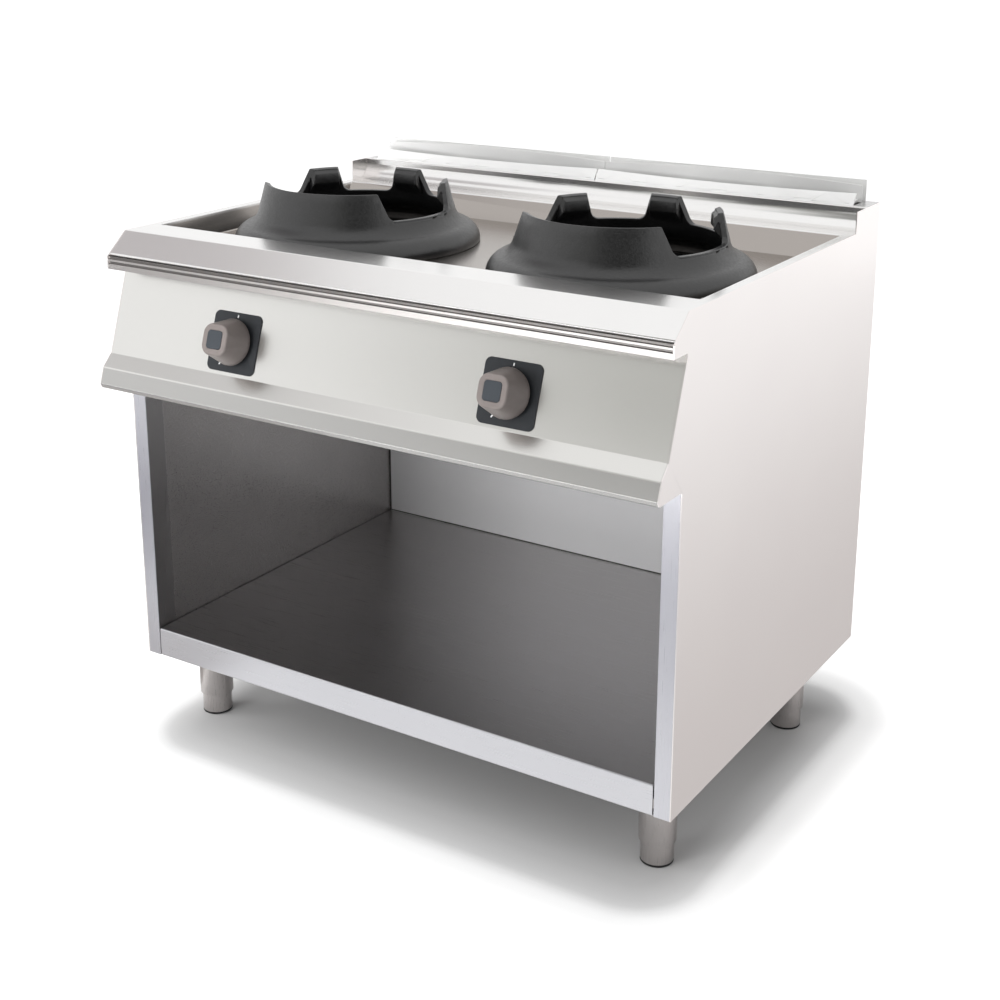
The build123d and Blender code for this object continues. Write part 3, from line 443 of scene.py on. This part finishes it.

# %% [markdown]
# The back of the cabinet is painted the brightest sheet inside, as painted light, and its skin
# scatters most of its light. Where it meets the floor and the linings, a joint of about 1 mm
# stays open, and a thin dark line is painted along the sheet's rim, as painted shadow of the gap.

# %% Back of the cabinet
PAST_BACK = 5
back_low, back_high = (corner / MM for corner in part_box("cabinet_back"))
back_sheet = mill_finish_sheet(
    "mill_sheet_painted_lighter_for_back_light",
    # painted light: lighter than the other inner sheets
    "#ececee",
    "#f3f3f4",
    (0.3, 0.36),
    0.35,
    (
        (floor_low.x + JOINT_WIDTH / 2, back_low.y - PAST_BACK, floor_high.z + JOINT_WIDTH),
        (floor_high.x - JOINT_WIDTH / 2, back_high.y + PAST_BACK, back_high.z - JOINT_WIDTH),
    ),
)
print("made", back_sheet.name)

# %% [markdown]
# ## Cast iron
# The wok rings are sand castings under a matt black enamel. Sand leaves grains of about 1 mm in
# the skin, which break the highlights up. They are drawn at 3 mm, or they would not show. The
# enamel is glassy but thin, so it stays rough. Real grains could be sculpted, but the mesh would
# be huge and look no different from here, so two noises raise a bump: one for the grains and one
# for the slow lumps of a casting. The burner parts are bare castings, so they are browner.

# %% Sand-cast iron
SAND_GRAIN = 3.0
CAST_LUMP = 14
LUMP_DEPTH = 0.3
GLASSY_IOR = 1.5


def sand_cast_iron(name, dark, light, rough, grain_depth, gloss):
    """Cast iron with a sandy skin, from fine grain to slow lumps."""
    finish, tree, shader, place = new_finish(name, Metallic=0.0, IOR=GLASSY_IOR)
    shader.inputs["Specular IOR Level"].default_value = gloss
    grains = add_node(
        tree,
        "ShaderNodeTexNoise",
        {"Scale": 1 / (SAND_GRAIN * MM), "Detail": 2.0},
        {"Vector": place},
    )
    lumps = add_node(
        tree,
        "ShaderNodeTexNoise",
        {"Scale": 1 / (CAST_LUMP * MM), "Detail": 3.0},
        {"Vector": place},
    )
    shade = add_node(
        tree,
        "ShaderNodeMix",
        {"data_type": "RGBA", COLOUR_A: linear(dark), COLOUR_B: linear(light)},
        {0: lumps.outputs[0]},
    )
    skin = add_node(
        tree,
        "ShaderNodeMapRange",
        {"From Min": NOISE_LOW, "From Max": NOISE_HIGH, "To Min": rough[0], "To Max": rough[1]},
        {"Value": grains.outputs[0]},
    )
    lumpy = add_node(
        tree, "ShaderNodeBump", {"Distance": LUMP_DEPTH * MM}, {"Height": lumps.outputs[0]}
    )
    sandy = add_node(
        tree,
        "ShaderNodeBump",
        {"Distance": grain_depth * MM},
        {"Height": grains.outputs[0], "Normal": lumpy.outputs[0]},
    )
    tree.links.new(shade.outputs[COLOUR_OUT], shader.inputs["Base Color"])
    tree.links.new(skin.outputs[0], shader.inputs["Roughness"])
    tree.links.new(sandy.outputs[0], shader.inputs["Normal"])
    return finish


enamelled_cast_iron = sand_cast_iron(
    "matt_enamelled_cast_iron", "#0a0a0b", "#121213", (0.28, 0.44), 0.2, 0.95
)
bare_cast_iron = sand_cast_iron("bare_cast_iron", "#35332f", "#4b4846", (0.5, 0.68), 0.22, 0.4)
print("made", enamelled_cast_iron.name, bare_cast_iron.name)

# %% [markdown]
# ## Moulded plastics
# The knobs are moulded in a heat-proof grey-beige plastic with a fine spark-eroded texture, and
# the inlay and the plate behind them are the same plastic in dark grey, with white index marks
# moulded in. Moulded plastic has one even colour, so the eye reads it from its soft highlight,
# its fine grain and the faint flow marks where the melt ran along the part. The grain is about
# 0.2 mm wide and is drawn at 0.8 mm. It is a bump, because it is far too shallow for real faces.

# %% Spark-textured plastic
SPARK_GRAIN = 0.8
SPARK_DEPTH = 0.025
FLOW_MARK = 22


def moulded_plastic(name, shade, tint, rough):
    """Heat-proof moulding with a fine grain and faint flow marks."""
    finish, tree, shader, place = new_finish(name, Metallic=0.0, IOR=GLASSY_IOR)
    grain = add_node(
        tree,
        "ShaderNodeTexNoise",
        {"Scale": 1 / (SPARK_GRAIN * MM), "Detail": 1.0},
        {"Vector": place},
    )
    flow = add_node(
        tree,
        "ShaderNodeTexNoise",
        {"Scale": 1 / (FLOW_MARK * MM), "Detail": 1.0, "Distortion": 0.6},
        {"Vector": place},
    )
    blend = add_node(
        tree,
        "ShaderNodeMix",
        {"data_type": "RGBA", COLOUR_A: linear(shade), COLOUR_B: linear(tint)},
        {0: flow.outputs[0]},
    )
    sheen = add_node(
        tree,
        "ShaderNodeMapRange",
        {"From Min": NOISE_LOW, "From Max": NOISE_HIGH, "To Min": rough[0], "To Max": rough[1]},
        {"Value": grain.outputs[0]},
    )
    spark = add_node(
        tree, "ShaderNodeBump", {"Distance": SPARK_DEPTH * MM}, {"Height": grain.outputs[0]}
    )
    tree.links.new(blend.outputs[COLOUR_OUT], shader.inputs["Base Color"])
    tree.links.new(sheen.outputs[0], shader.inputs["Roughness"])
    tree.links.new(spark.outputs[0], shader.inputs["Normal"])
    return finish


knob_plastic = moulded_plastic("grey_beige_moulded_plastic", "#78706d", "#837b78", (0.32, 0.44))
inlay_plastic = moulded_plastic("dark_grey_moulded_inlay", "#33383e", "#3a3f45", (0.35, 0.45))
plate_plastic = moulded_plastic("dark_grey_moulded_plate", "#1e2125", "#24272b", (0.45, 0.6))
mark_plastic = moulded_plastic("white_moulded_marks", "#e4e4e4", "#efefef", (0.4, 0.5))
print("made", knob_plastic.name, inlay_plastic.name, plate_plastic.name, mark_plastic.name)

# %% [markdown]
# ## Gas fittings and feet
# Out of sight are the taps, turned from brass, the gas pipe, painted ochre, and the bent
# aluminium tubes to the injectors. Turning leaves rings and drawing leaves lines along a tube,
# but all of them are simply metals with a fine pattern, so one function covers them. Tool marks
# are 0.1 to 0.3 mm apart and are drawn at about 1 mm, and the ripples of the paint are 3 mm. The
# foot tubes are drawn and ground stainless, a little darker than the sheets, and the screws have
# a thin coat of zinc.

# %% Drawn and turned metals
TOOL_MARK_DEPTH = 0.015
PATCH_SIZE = 30


def worked_metal(name, dull, bright, rough, mark_pitch, stretch, metallic=1.0):
    """Metal or painted metal with the fine lines that turning or drawing leaves."""
    finish, tree, shader, place = new_finish(name, Metallic=metallic)
    stretched = add_node(
        tree, "ShaderNodeMapping", {"Scale": [1 / s for s in stretch]}, {"Vector": place}
    )
    marks = add_node(
        tree,
        "ShaderNodeTexNoise",
        {"Scale": 1 / (mark_pitch * MM), "Detail": 2.0},
        {"Vector": stretched.outputs[0]},
    )
    patches = add_node(
        tree,
        "ShaderNodeTexNoise",
        {"Scale": 1 / (PATCH_SIZE * MM), "Detail": 3.0},
        {"Vector": place},
    )
    shade = add_node(
        tree,
        "ShaderNodeMix",
        {"data_type": "RGBA", COLOUR_A: linear(dull), COLOUR_B: linear(bright)},
        {0: patches.outputs[0]},
    )
    polish = add_node(
        tree,
        "ShaderNodeMapRange",
        {"From Min": NOISE_LOW, "From Max": NOISE_HIGH, "To Min": rough[0], "To Max": rough[1]},
        {"Value": marks.outputs[0]},
    )
    lines = add_node(
        tree, "ShaderNodeBump", {"Distance": TOOL_MARK_DEPTH * MM}, {"Height": marks.outputs[0]}
    )
    tree.links.new(shade.outputs[COLOUR_OUT], shader.inputs["Base Color"])
    tree.links.new(polish.outputs[0], shader.inputs["Roughness"])
    tree.links.new(lines.outputs[0], shader.inputs["Normal"])
    return finish


ALL_WAYS = (1, 1, 1)
ALONG_TUBE = (1, 1, 35)
turned_brass = worked_metal("turned_brass", "#b8934f", "#c9a662", (0.22, 0.38), 0.7, ALL_WAYS)
painted_pipe = worked_metal(
    "ochre_painted_steel_pipe", "#b8942f", "#c5a23c", (0.35, 0.5), 3, ALL_WAYS, 0.0
)
drawn_aluminium = worked_metal(
    "drawn_aluminium_tube", "#b9babb", "#c8c9ca", (0.28, 0.42), 0.8, ALONG_TUBE
)
ground_tube = worked_metal(
    "ground_stainless_tube", "#c3bebc", "#cfcac8", (0.26, 0.4), 0.9, ALONG_TUBE
)
plated_screw = worked_metal(
    "zinc_plated_screw", "#b4b3ae", "#c6c5c0", (0.3, 0.45), 1.2, ALL_WAYS
)
print("made", turned_brass.name, painted_pipe.name, drawn_aluminium.name)
print("made", ground_tube.name, plated_screw.name)

# %% [markdown]
# ## Enamel and rubber
# The drip bowls are pressed sheet dipped in black enamel, which is glass: smooth, glossy and a
# little uneven where it ran. The foot pads are black rubber, matt with a faint bloom. Both are
# dark, so they differ to the eye only in how sharp their reflections are, and one function with
# one noise is enough for both.

# %% Enamel and rubber
def dark_coat(name, dark, light, rough, ripple_size, ripple_depth):
    """A black coating or rubber with slow ripples."""
    finish, tree, shader, place = new_finish(name, Metallic=0.0)
    ripples = add_node(
        tree,
        "ShaderNodeTexNoise",
        {"Scale": 1 / (ripple_size * MM), "Detail": 2.0},
        {"Vector": place},
    )
    shade = add_node(
        tree,
        "ShaderNodeMix",
        {"data_type": "RGBA", COLOUR_A: linear(dark), COLOUR_B: linear(light)},
        {0: ripples.outputs[0]},
    )
    gloss = add_node(
        tree,
        "ShaderNodeMapRange",
        {"From Min": NOISE_LOW, "From Max": NOISE_HIGH, "To Min": rough[0], "To Max": rough[1]},
        {"Value": ripples.outputs[0]},
    )
    uneven = add_node(
        tree, "ShaderNodeBump", {"Distance": ripple_depth * MM}, {"Height": ripples.outputs[0]}
    )
    tree.links.new(shade.outputs[COLOUR_OUT], shader.inputs["Base Color"])
    tree.links.new(gloss.outputs[0], shader.inputs["Roughness"])
    tree.links.new(uneven.outputs[0], shader.inputs["Normal"])
    return finish


black_enamel = dark_coat("black_vitreous_enamel", "#131314", "#1b1b1c", (0.12, 0.22), 9, 0.05)
foot_rubber = dark_coat("black_moulded_rubber", "#131313", "#1f1f1f", (0.6, 0.75), 2, 0.04)
print("made", black_enamel.name, foot_rubber.name)

# %% [markdown]
# ## Soft edges
# No real edge is sharp. A sheared and deburred sheet has a tiny round of about 0.3 mm, a casting
# has rounds of 1 to 2 mm, and each catches a thin bright line of light. The CAD solids have
# sharp edges there, because rounds that small would only make their files heavy. A Bevel
# modifier after a Weld rounds the edges here, and leaves the CAD mesh as it is.
# The control panel and the rear panel go without: on such large faces with holes in them, the
# bevel's smoothed normals show as creases. The manifold, supply pipes and screws are round and
# need none.

# %% Edge rounding
WELD_REACH = 0.002
EDGE_ANGLE = 32


def soften(node, width, segments):
    """Rounds the sharp edges of a CAD node by a width in millimetres."""
    weld = node.modifiers.new("weld", "WELD")
    weld.merge_threshold = WELD_REACH * MM
    bevel = node.modifiers.new("soft_edges", "BEVEL")
    bevel.width = width * MM
    bevel.segments = segments
    bevel.limit_method = "ANGLE"
    bevel.angle_limit = radians(EDGE_ANGLE)
    bevel.use_clamp_overlap = False
    bevel.harden_normals = True
    bevel.miter_outer = "MITER_ARC"


def dress(names, finish, slot, edge=0.0, segments=2):
    """Gives CAD nodes their finish, prints them under a slot name, and softens their edges."""
    for name in names:
        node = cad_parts[name]
        node.data.materials.clear()
        node.data.materials.append(finish)
        if edge:
            soften(node, edge, segments)
    print(slot, "on", ", ".join(names))


SIDES = ("left", "right")


def pair(name):
    """The names of a left and a right node."""
    return [f"{name}_{side}" for side in SIDES]


def four(name):
    """The names of a node at each of the four feet."""
    return [f"{name}_{place}_{side}" for place in ("front", "rear") for side in SIDES]


# %% [markdown]
# ## Dressing the body
# The worktop, rail, panel and cabinet floor run across the range, so their grain does too. The
# posts stand, so theirs is upright, and the big side panels are ground along their depth. Each
# line below names the nodes of one finish, their slot, the width of their rounded edges and the
# steps in each round. The inside, the castings, the knobs, the gas line and the feet follow in
# the same way.

# %% Body sheets
dress(["worktop"], satin_worktop, "sheet", 0.9, 3)
dress(["front_rail"], satin_rail, "sheet", 0.35)
dress(["control_panel"], satin_panel, "sheet")
dress(["cabinet_floor"], coarse_across, "sheet", 0.35)
dress(pair("flue"), bead_blasted, "sheet", 0.4)
dress(pair("front_post"), coarse_upright, "sheet", 0.5)
dress(pair("side_panel"), satin_side, "sheet", 0.4)
dress(["rear_panel"], mill_sheet, "inner_sheet")
dress(["rear_screws"], plated_screw, "inner_sheet")

# %% Inside of the cabinet
dress(pair("lining"), lining_sheet, "inner_sheet", 0.25, 1)
dress(["cabinet_back"], back_sheet, "inner_sheet", 0.25, 1)
dress(["cabinet_ceiling"], mill_sheet, "inner_sheet", 0.25, 1)
dress(["base_frame", "flue_duct", "burner_brackets"], mill_sheet, "inner_sheet", 0.3, 1)

# %% Rings and burners
dress(pair("wok_ring"), enamelled_cast_iron, "cast", 1.4, 3)
dress(pair("burner_cup") + pair("burner_cap"), bare_cast_iron, "burner", 0.5)
dress(pair("drip_bowl"), black_enamel, "enamel", 0.3, 1)

# %% Knobs
dress(pair("knob"), knob_plastic, "knob", 0.4)
dress(pair("knob_pad"), inlay_plastic, "inlay", 0.3)
dress(pair("knob_plate"), plate_plastic, "plate", 0.6)
dress(["dial_marks"], mark_plastic, "mark", 0.15, 1)

# %% Gas line
dress(pair("tap_body") + pair("tap_plug") + ["injectors"], turned_brass, "brass", 0.3, 1)
dress(pair("tap_spindle") + ["pilots", "thermocouples"], turned_brass, "brass", 0.2, 1)
dress(["manifold"], painted_pipe, "pipe")
dress(["gas_inlet"], turned_brass, "brass", 0.3, 1)
dress(pair("supply_pipe"), drawn_aluminium, "tube")

# %% Feet
dress(four("foot_tube") + four("foot_sleeve"), ground_tube, "leg", 0.4)
dress(four("foot_pad"), foot_rubber, "rubber", 0.4)

# %% [markdown]
# ## Dimples of the flue
# Each front blade of the flue shows three shallow oblong dimples, where plates of its ties are
# let into slots and welded. The slots are in the CAD blade. The plates could be scaled boxes, but
# then their ends would be square. So a thin plate with round ends is made for each, a little
# below the face, from one outline that is moved along the blade.

# %% Tie plates
SLOT_LENGTH, SLOT_HEIGHT, SLOT_PITCH = 30.0, 3.0, 150.0
SLOT_RISE = 4.0
BLADE_RUN, BLADE_RISE = 13, 19
BLADE_LEAN = atan2(BLADE_RUN, BLADE_RISE)
PLATE_SINK, PLATE_THICKNESS = 0.5, 1.0
ROUND_STEPS = 6


def tie_plates(side):
    """The three oblong plates in the slots of one front blade."""
    low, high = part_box(f"flue_{side}")
    middle = (low.x + high.x) / 2
    up = Vector((0, sin(BLADE_LEAN), cos(BLADE_LEAN)))
    inward = Vector((0, cos(BLADE_LEAN), -sin(BLADE_LEAN)))
    foot = Vector((0, low.y, low.z)) + up * SLOT_RISE * MM + inward * PLATE_SINK * MM
    radius = SLOT_HEIGHT / 2 * MM
    straight = (SLOT_LENGTH - SLOT_HEIGHT) / 2 * MM
    shape = bmesh.new()
    for step in (-1, 0, 1):
        centre = foot + Vector((middle + step * SLOT_PITCH * MM, 0, 0))
        rim = []
        for end in (1, -1):
            for turn in range(ROUND_STEPS + 1):
                angle = pi * (turn / ROUND_STEPS - 0.5)
                along = end * (straight + radius * cos(angle))
                across = end * radius * sin(angle)
                rim.append(shape.verts.new(centre + Vector((along, 0, 0)) + up * across))
        face = shape.faces.new(rim)
        back = bmesh.ops.extrude_face_region(shape, geom=[face])["geom"]
        moved = [part for part in back if isinstance(part, bmesh.types.BMVert)]
        bmesh.ops.translate(shape, verts=moved, vec=inward * PLATE_THICKNESS * MM)
    bmesh.ops.recalc_face_normals(shape, faces=shape.faces)
    mesh = bpy.data.meshes.new(f"flue_tie_plates_{side}")
    shape.to_mesh(mesh)
    shape.free()
    mesh.materials.append(bead_blasted)
    plates = bpy.data.objects.new(mesh.name, mesh)
    bpy.context.scene.collection.objects.link(plates)
    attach(plates, "range")
    print(plates.name, len(mesh.polygons), "faces")


for side in SIDES:
    tie_plates(side)

# %% [markdown]
# ## Helpers for the studio
# The floor and the world have to look white to the camera and in the steel, without lighting the
# range that brightly. Light Path tells a shader which kind of ray has met it, and the first
# function joins three of its answers. The floor and the cards are flat and have four corners, so
# the second function makes them straight from their corners, which is plainer than scaling and
# turning a plane.

# %% Studio helpers
def seen_or_mirrored(tree):
    """An output of 1 for rays from the camera, off a mirror or through glass, and 0 for others."""
    rays = add_node(tree, "ShaderNodeLightPath").outputs
    shiny = add_node(
        tree,
        "ShaderNodeMath",
        {"operation": "MAXIMUM"},
        {0: rays["Is Glossy Ray"], 1: rays["Is Transmission Ray"]},
    )
    return add_node(
        tree,
        "ShaderNodeMath",
        {"operation": "MAXIMUM"},
        {0: rays["Is Camera Ray"], 1: shiny.outputs[0]},
    ).outputs[0]


def flat_piece(name, corners, finish):
    """A flat four-cornered piece with one finish, for the floor and the cards."""
    mesh = bpy.data.meshes.new(name)
    mesh.from_pydata(corners, [], [(0, 1, 2, 3)])
    mesh.materials.append(finish)
    piece = bpy.data.objects.new(name, mesh)
    bpy.context.scene.collection.objects.link(piece)
    return piece


print("studio helpers ready")

# %% [markdown]
# ## Floor
# The range stands on a pale floor in a white studio. A white floor could come from more light,
# but that would bleach the steel. Here the floor adds a little light of its own, to camera,
# glossy and transmission rays only. It adds none under the range, where the shadow lies, and
# more with the distance from there. The shadow of the photograph is compact and lies a little
# to the right and the rear, so the paint is also greyer inside that patch. Each step of the
# glow is a distance from the patch and how bright the floor is there. Distances in this cell
# are in metres, but for the mottle of the paint.

# %% Floor
FLOOR_REACH = 30.0
FLOOR_MOTTLE = 400
GLOW_REACH = 4.0
GLOW_STEPS = ((0.0, 0.0), (0.085, 0.02), (0.13, 0.33), (0.2, 0.62), (4.0, 0.72))
PATCH_RIM = (0.04, 0.12)
PATCH_INSET = 0.1
half_patch = (cad_box[1] - cad_box[0]) / 2 - Vector((PATCH_INSET, PATCH_INSET, 0))
patch_centre = Vector((0.02, 0.03, 0.0))


def studio_floor():
    """A wide pale plane with a soft grey shadow, partly painted into its colour."""
    finish, tree, place = empty_finish("pale_painted_floor")
    mottle = add_node(
        tree, "ShaderNodeTexNoise", {"Scale": 1 / (FLOOR_MOTTLE * MM)}, {"Vector": place}
    )
    moved = add_node(
        tree, "ShaderNodeVectorMath", {"operation": "SUBTRACT", 1: patch_centre}, {0: place}
    )
    folded = add_node(
        tree, "ShaderNodeVectorMath", {"operation": "ABSOLUTE"}, {0: moved.outputs[0]}
    )
    outside = add_node(
        tree,
        "ShaderNodeVectorMath",
        {"operation": "SUBTRACT", 1: half_patch},
        {0: folded.outputs[0]},
    )
    beyond = add_node(
        tree,
        "ShaderNodeVectorMath",
        {"operation": "MAXIMUM", 1: (0, 0, 0)},
        {0: outside.outputs[0]},
    )
    away = add_node(tree, "ShaderNodeVectorMath", {"operation": "LENGTH"}, {0: beyond.outputs[0]})
    paint = add_node(
        tree,
        "ShaderNodeMix",
        {"data_type": "RGBA", COLOUR_A: linear("#ebebeb"), COLOUR_B: linear("#efefef")},
        {0: mottle.outputs[0]},
    )
    clear = add_node(
        tree,
        "ShaderNodeMapRange",
        {"From Min": PATCH_RIM[0], "From Max": PATCH_RIM[1]},
        {"Value": away.outputs["Value"]},
    )
    # Painted shadow: inside the patch, the paint turns a darker grey.
    shaded_paint = add_node(
        tree,
        "ShaderNodeMix",
        {"data_type": "RGBA", COLOUR_A: linear("#d6d6d6")},
        {0: clear.outputs[0], COLOUR_B: paint.outputs[COLOUR_OUT]},
    )
    matt = add_node(
        tree, "ShaderNodeBsdfDiffuse", links={"Color": shaded_paint.outputs[COLOUR_OUT]}
    )
    share = add_node(
        tree,
        "ShaderNodeMapRange",
        {"From Min": 0.0, "From Max": GLOW_REACH},
        {"Value": away.outputs["Value"]},
    )
    steps = add_node(tree, "ShaderNodeValToRGB", links={"Fac": share.outputs[0]})
    steps.color_ramp.interpolation = "EASE"
    while len(steps.color_ramp.elements) < len(GLOW_STEPS):
        steps.color_ramp.elements.new(1.0)
    for stop, (distance, glow) in zip(steps.color_ramp.elements, GLOW_STEPS):
        stop.position = distance / GLOW_REACH
        stop.color = (glow, glow, glow, 1.0)
    own_light = add_node(
        tree,
        "ShaderNodeEmission",
        links={"Color": steps.outputs[0], "Strength": seen_or_mirrored(tree)},
    )
    both_lights = add_node(
        tree, "ShaderNodeAddShader", links={0: matt.outputs[0], 1: own_light.outputs[0]}
    )
    add_node(tree, "ShaderNodeOutputMaterial", links={"Surface": both_lights.outputs[0]})
    around = ((-1, -1), (1, -1), (1, 1), (-1, 1))
    corners = [(x * FLOOR_REACH, y * FLOOR_REACH, 0) for x, y in around]
    return flat_piece("studio_floor", corners, finish)


floor = studio_floor()
print("floor", floor.name)

# %% [markdown]
# ## White studio
# The world is a white studio. Camera, glossy and transmission rays see it pure white, so that
# steel mirrors the same background as the picture shows. All other rays get less than half of
# that, because the lamps bring the rest.

# %% World
WORLD_LIGHT = 0.45


def white_studio():
    """White to look at and in mirrors, and dimmer as a source of light."""
    world = bpy.data.worlds.new("white_studio")
    bpy.context.scene.world = world
    world.use_nodes = True
    tree = world.node_tree
    tree.nodes.clear()
    strength = add_node(
        tree,
        "ShaderNodeMapRange",
        {"To Min": WORLD_LIGHT, "To Max": 1.0},
        {"Value": seen_or_mirrored(tree)},
    )
    sky = add_node(
        tree, "ShaderNodeBackground", {"Color": (1, 1, 1, 1)}, {"Strength": strength.outputs[0]}
    )
    add_node(tree, "ShaderNodeOutputWorld", links={"Surface": sky.outputs[0]})


white_studio()
print("world light", WORLD_LIGHT)

# %% [markdown]
# ## Reflector cards
# Steel is a mirror with a soft focus, so it is drawn by what stands around it, and in an all
# white room it would be flat. A photographer hangs grey cards where the steel looks. Four do
# it here: a low one in front, which greys the panel towards the right, a tall one beside the
# camera for the rings and knobs, one high overhead for the chamfer under the panel, and one in
# the upper left for the nose of the worktop. Only reflections see them, so they throw no shadow.
# Each is placed by two corners, in metres.

# %% Cards
X_AXIS, Y_AXIS = 0, 1


def reflector_card(name, low, high, shades, fade, axis=X_AXIS, soft=0.0):
    """A flat card between two corners, fading from one shade to another along an axis.

    An upright card can turn white over a soft band at its foot and at its top.
    """
    finish, tree, place = empty_finish(name)
    axes = add_node(tree, "ShaderNodeSeparateXYZ", links={0: place})
    along = add_node(
        tree,
        "ShaderNodeMapRange",
        {"interpolation_type": "SMOOTHSTEP", "From Min": fade[0], "From Max": fade[1]},
        {"Value": axes.outputs[axis]},
    )
    paper = add_node(
        tree,
        "ShaderNodeMix",
        {"data_type": "RGBA", COLOUR_A: linear(shades[0]), COLOUR_B: linear(shades[1])},
        {0: along.outputs[0]},
    )
    if soft:
        mid_height = (low[2] + high[2]) / 2
        half_height = (high[2] - low[2]) / 2
        from_middle = add_node(
            tree, "ShaderNodeMath", {"operation": "SUBTRACT", 1: mid_height}, {0: axes.outputs[2]}
        )
        height = add_node(
            tree, "ShaderNodeMath", {"operation": "ABSOLUTE"}, {0: from_middle.outputs[0]}
        )
        rim = add_node(
            tree,
            "ShaderNodeMapRange",
            {
                "interpolation_type": "SMOOTHSTEP",
                "From Min": half_height,
                "From Max": half_height - soft,
            },
            {"Value": height.outputs[0]},
        )
        paper = add_node(
            tree,
            "ShaderNodeMix",
            {"data_type": "RGBA", COLOUR_A: (1, 1, 1, 1)},
            {0: rim.outputs[0], COLOUR_B: paper.outputs[COLOUR_OUT]},
        )
    lit = add_node(tree, "ShaderNodeEmission", links={"Color": paper.outputs[COLOUR_OUT]})
    add_node(tree, "ShaderNodeOutputMaterial", links={"Surface": lit.outputs[0]})
    corners = [low, (high[0], low[1], low[2]), high, (low[0], high[1], high[2])]
    card = flat_piece(name, corners, finish)
    card.visible_camera = False
    card.visible_diffuse = False
    card.visible_shadow = False
    print(name, low, high)


SOFT_BAND = 0.24
reflector_card(
    "front_card",
    (-2.3, -1.6, 0.83),
    (0.1, -1.6, 1.54),
    ("#ffffff", "#b3b3af"),
    (-1.45, -0.1),
    soft=SOFT_BAND,
)
reflector_card(
    "camera_side_card",
    (0.1, -1.6, 0.83),
    (2.4, -1.6, 3.1),
    ("#b3b3af", "#6e6e6c"),
    (0.1, 0.6),
    soft=SOFT_BAND,
)
reflector_card(
    "overhead_card", (-6.0, -2.7, 4.9), (-1.2, -1.15, 4.9), ("#c6c4c5", "#ffffff"), (-4.9, -1.6)
)
reflector_card(
    "upper_left_card", (-4.4, -0.95, 3.3), (-1.7, 0.3, 3.3), ("#bcb7b8", "#ffffff"), (-2.3, -1.75)
)

# %% [markdown]
# Five more lie on the floor, where the upright sheets look. One in front gets darker away from
# the range, so the lip of the cabinet stays bright and the posts turn grey further up. One on
# either side gets brighter away from it, so the side panels darken towards their feet and the
# left one stands out from the white. Two on the left in front are darker, for the left end of
# the worktop's nose and for the left post.

# %% Floor cards
CARD_LIFT = 0.004
reflector_card(
    "front_floor_card",
    (-1.7, -1.9, CARD_LIFT),
    (2.0, -0.4, CARD_LIFT),
    ("#c0c0c5", "#ffffff"),
    (-1.3, -0.6),
    Y_AXIS,
)
reflector_card(
    "right_floor_card",
    (0.52, -0.4, CARD_LIFT),
    (3.5, 4.0, CARD_LIFT),
    ("#cbc7c6", "#ffffff"),
    (0.5, 1.9),
)
reflector_card(
    "left_side_card",
    (-7.0, -0.7, CARD_LIFT),
    (-0.52, 6.0, CARD_LIFT),
    ("#e6e3e2", "#c0bcbb"),
    (-2.2, -0.6),
)
reflector_card(
    "left_floor_card",
    (-4.0, -3.3, CARD_LIFT),
    (-1.9, -1.5, CARD_LIFT),
    ("#8f8d8e", "#ffffff"),
    (-2.5, -1.9),
)
reflector_card(
    "left_post_card",
    (-2.0, -1.5, 2 * CARD_LIFT),
    (-1.0, -0.72, 2 * CARD_LIFT),
    ("#9d9ca2", "#a9a8ae"),
    (-2.0, -1.0),
)

# %% [markdown]
# ## Lamps
# Three soft lamps shape what isn't steel: the rings, the knobs and the floor. The large one
# hangs above, and a smaller one stands in front on the left, so the shadow lies under the range
# and to its right. A low one in front shines into the open cabinet. Reflections see the white
# room in their place. Each has its place, its aim and its size in metres, and its radiance, which
# stays the same when the size is changed.

# %% Softboxes
def softbox(name, place, aim, size, radiance):
    """A rectangular area lamp that stays out of the picture and out of reflections."""
    lamp = bpy.data.lights.new(name, "AREA")
    lamp.shape = "RECTANGLE"
    lamp.size, lamp.size_y = size
    lamp.energy = radiance * pi * size[0] * size[1]
    holder = bpy.data.objects.new(name, lamp)
    holder.location = place
    holder.rotation_mode = "QUATERNION"
    holder.rotation_quaternion = (Vector(aim) - Vector(place)).to_track_quat("-Z", "Y")
    holder.visible_camera = False
    holder.visible_glossy = False
    bpy.context.scene.collection.objects.link(holder)
    print(name, round(lamp.energy), "W")


softbox("overhead_softbox", (-0.5, -0.2, 3.2), (-0.5, -0.2, 0), (3.6, 3.6), 1.1)
softbox("left_softbox", (-3.0, -2.0, 2.2), (0, -0.2, 0.7), (1.6, 1.6), 5.5)
softbox("low_front_softbox", (-1.1, -3.0, 0.7), (0.1, 0.3, 0.35), (1.4, 0.7), 17.0)

# %% [markdown]
# ## Camera
# The camera looks down on the right front corner, as in the photograph. Its place, turn and lens
# were fitted to corners of the body that are easy to see there, with the shift held at this
# value. More shift fits the lower corners of the cabinet better, but other views keep the shift,
# and each bit of it moves the range further up in them. The dip below the horizon and the turn
# are in degrees.

# %% Camera
CAMERA_DIP, CAMERA_TURN = 16.062, 32.678
camera_data = bpy.data.cameras.new("product_camera")
camera_data.sensor_width = 36.0
camera_data.lens = 57.33
camera_data.shift_x = 0.01
camera_data.shift_y = -0.13
camera = bpy.data.objects.new("product_camera", camera_data)
camera.location = (1.3511, -2.1131, 1.3601)
camera.rotation_euler = (radians(90 - CAMERA_DIP), 0, radians(CAMERA_TURN))
bpy.context.scene.collection.objects.link(camera)
bpy.context.scene.camera = camera
bpy.context.scene.view_settings.view_transform = "Standard"
print("camera at", [round(c, 3) for c in camera.location])
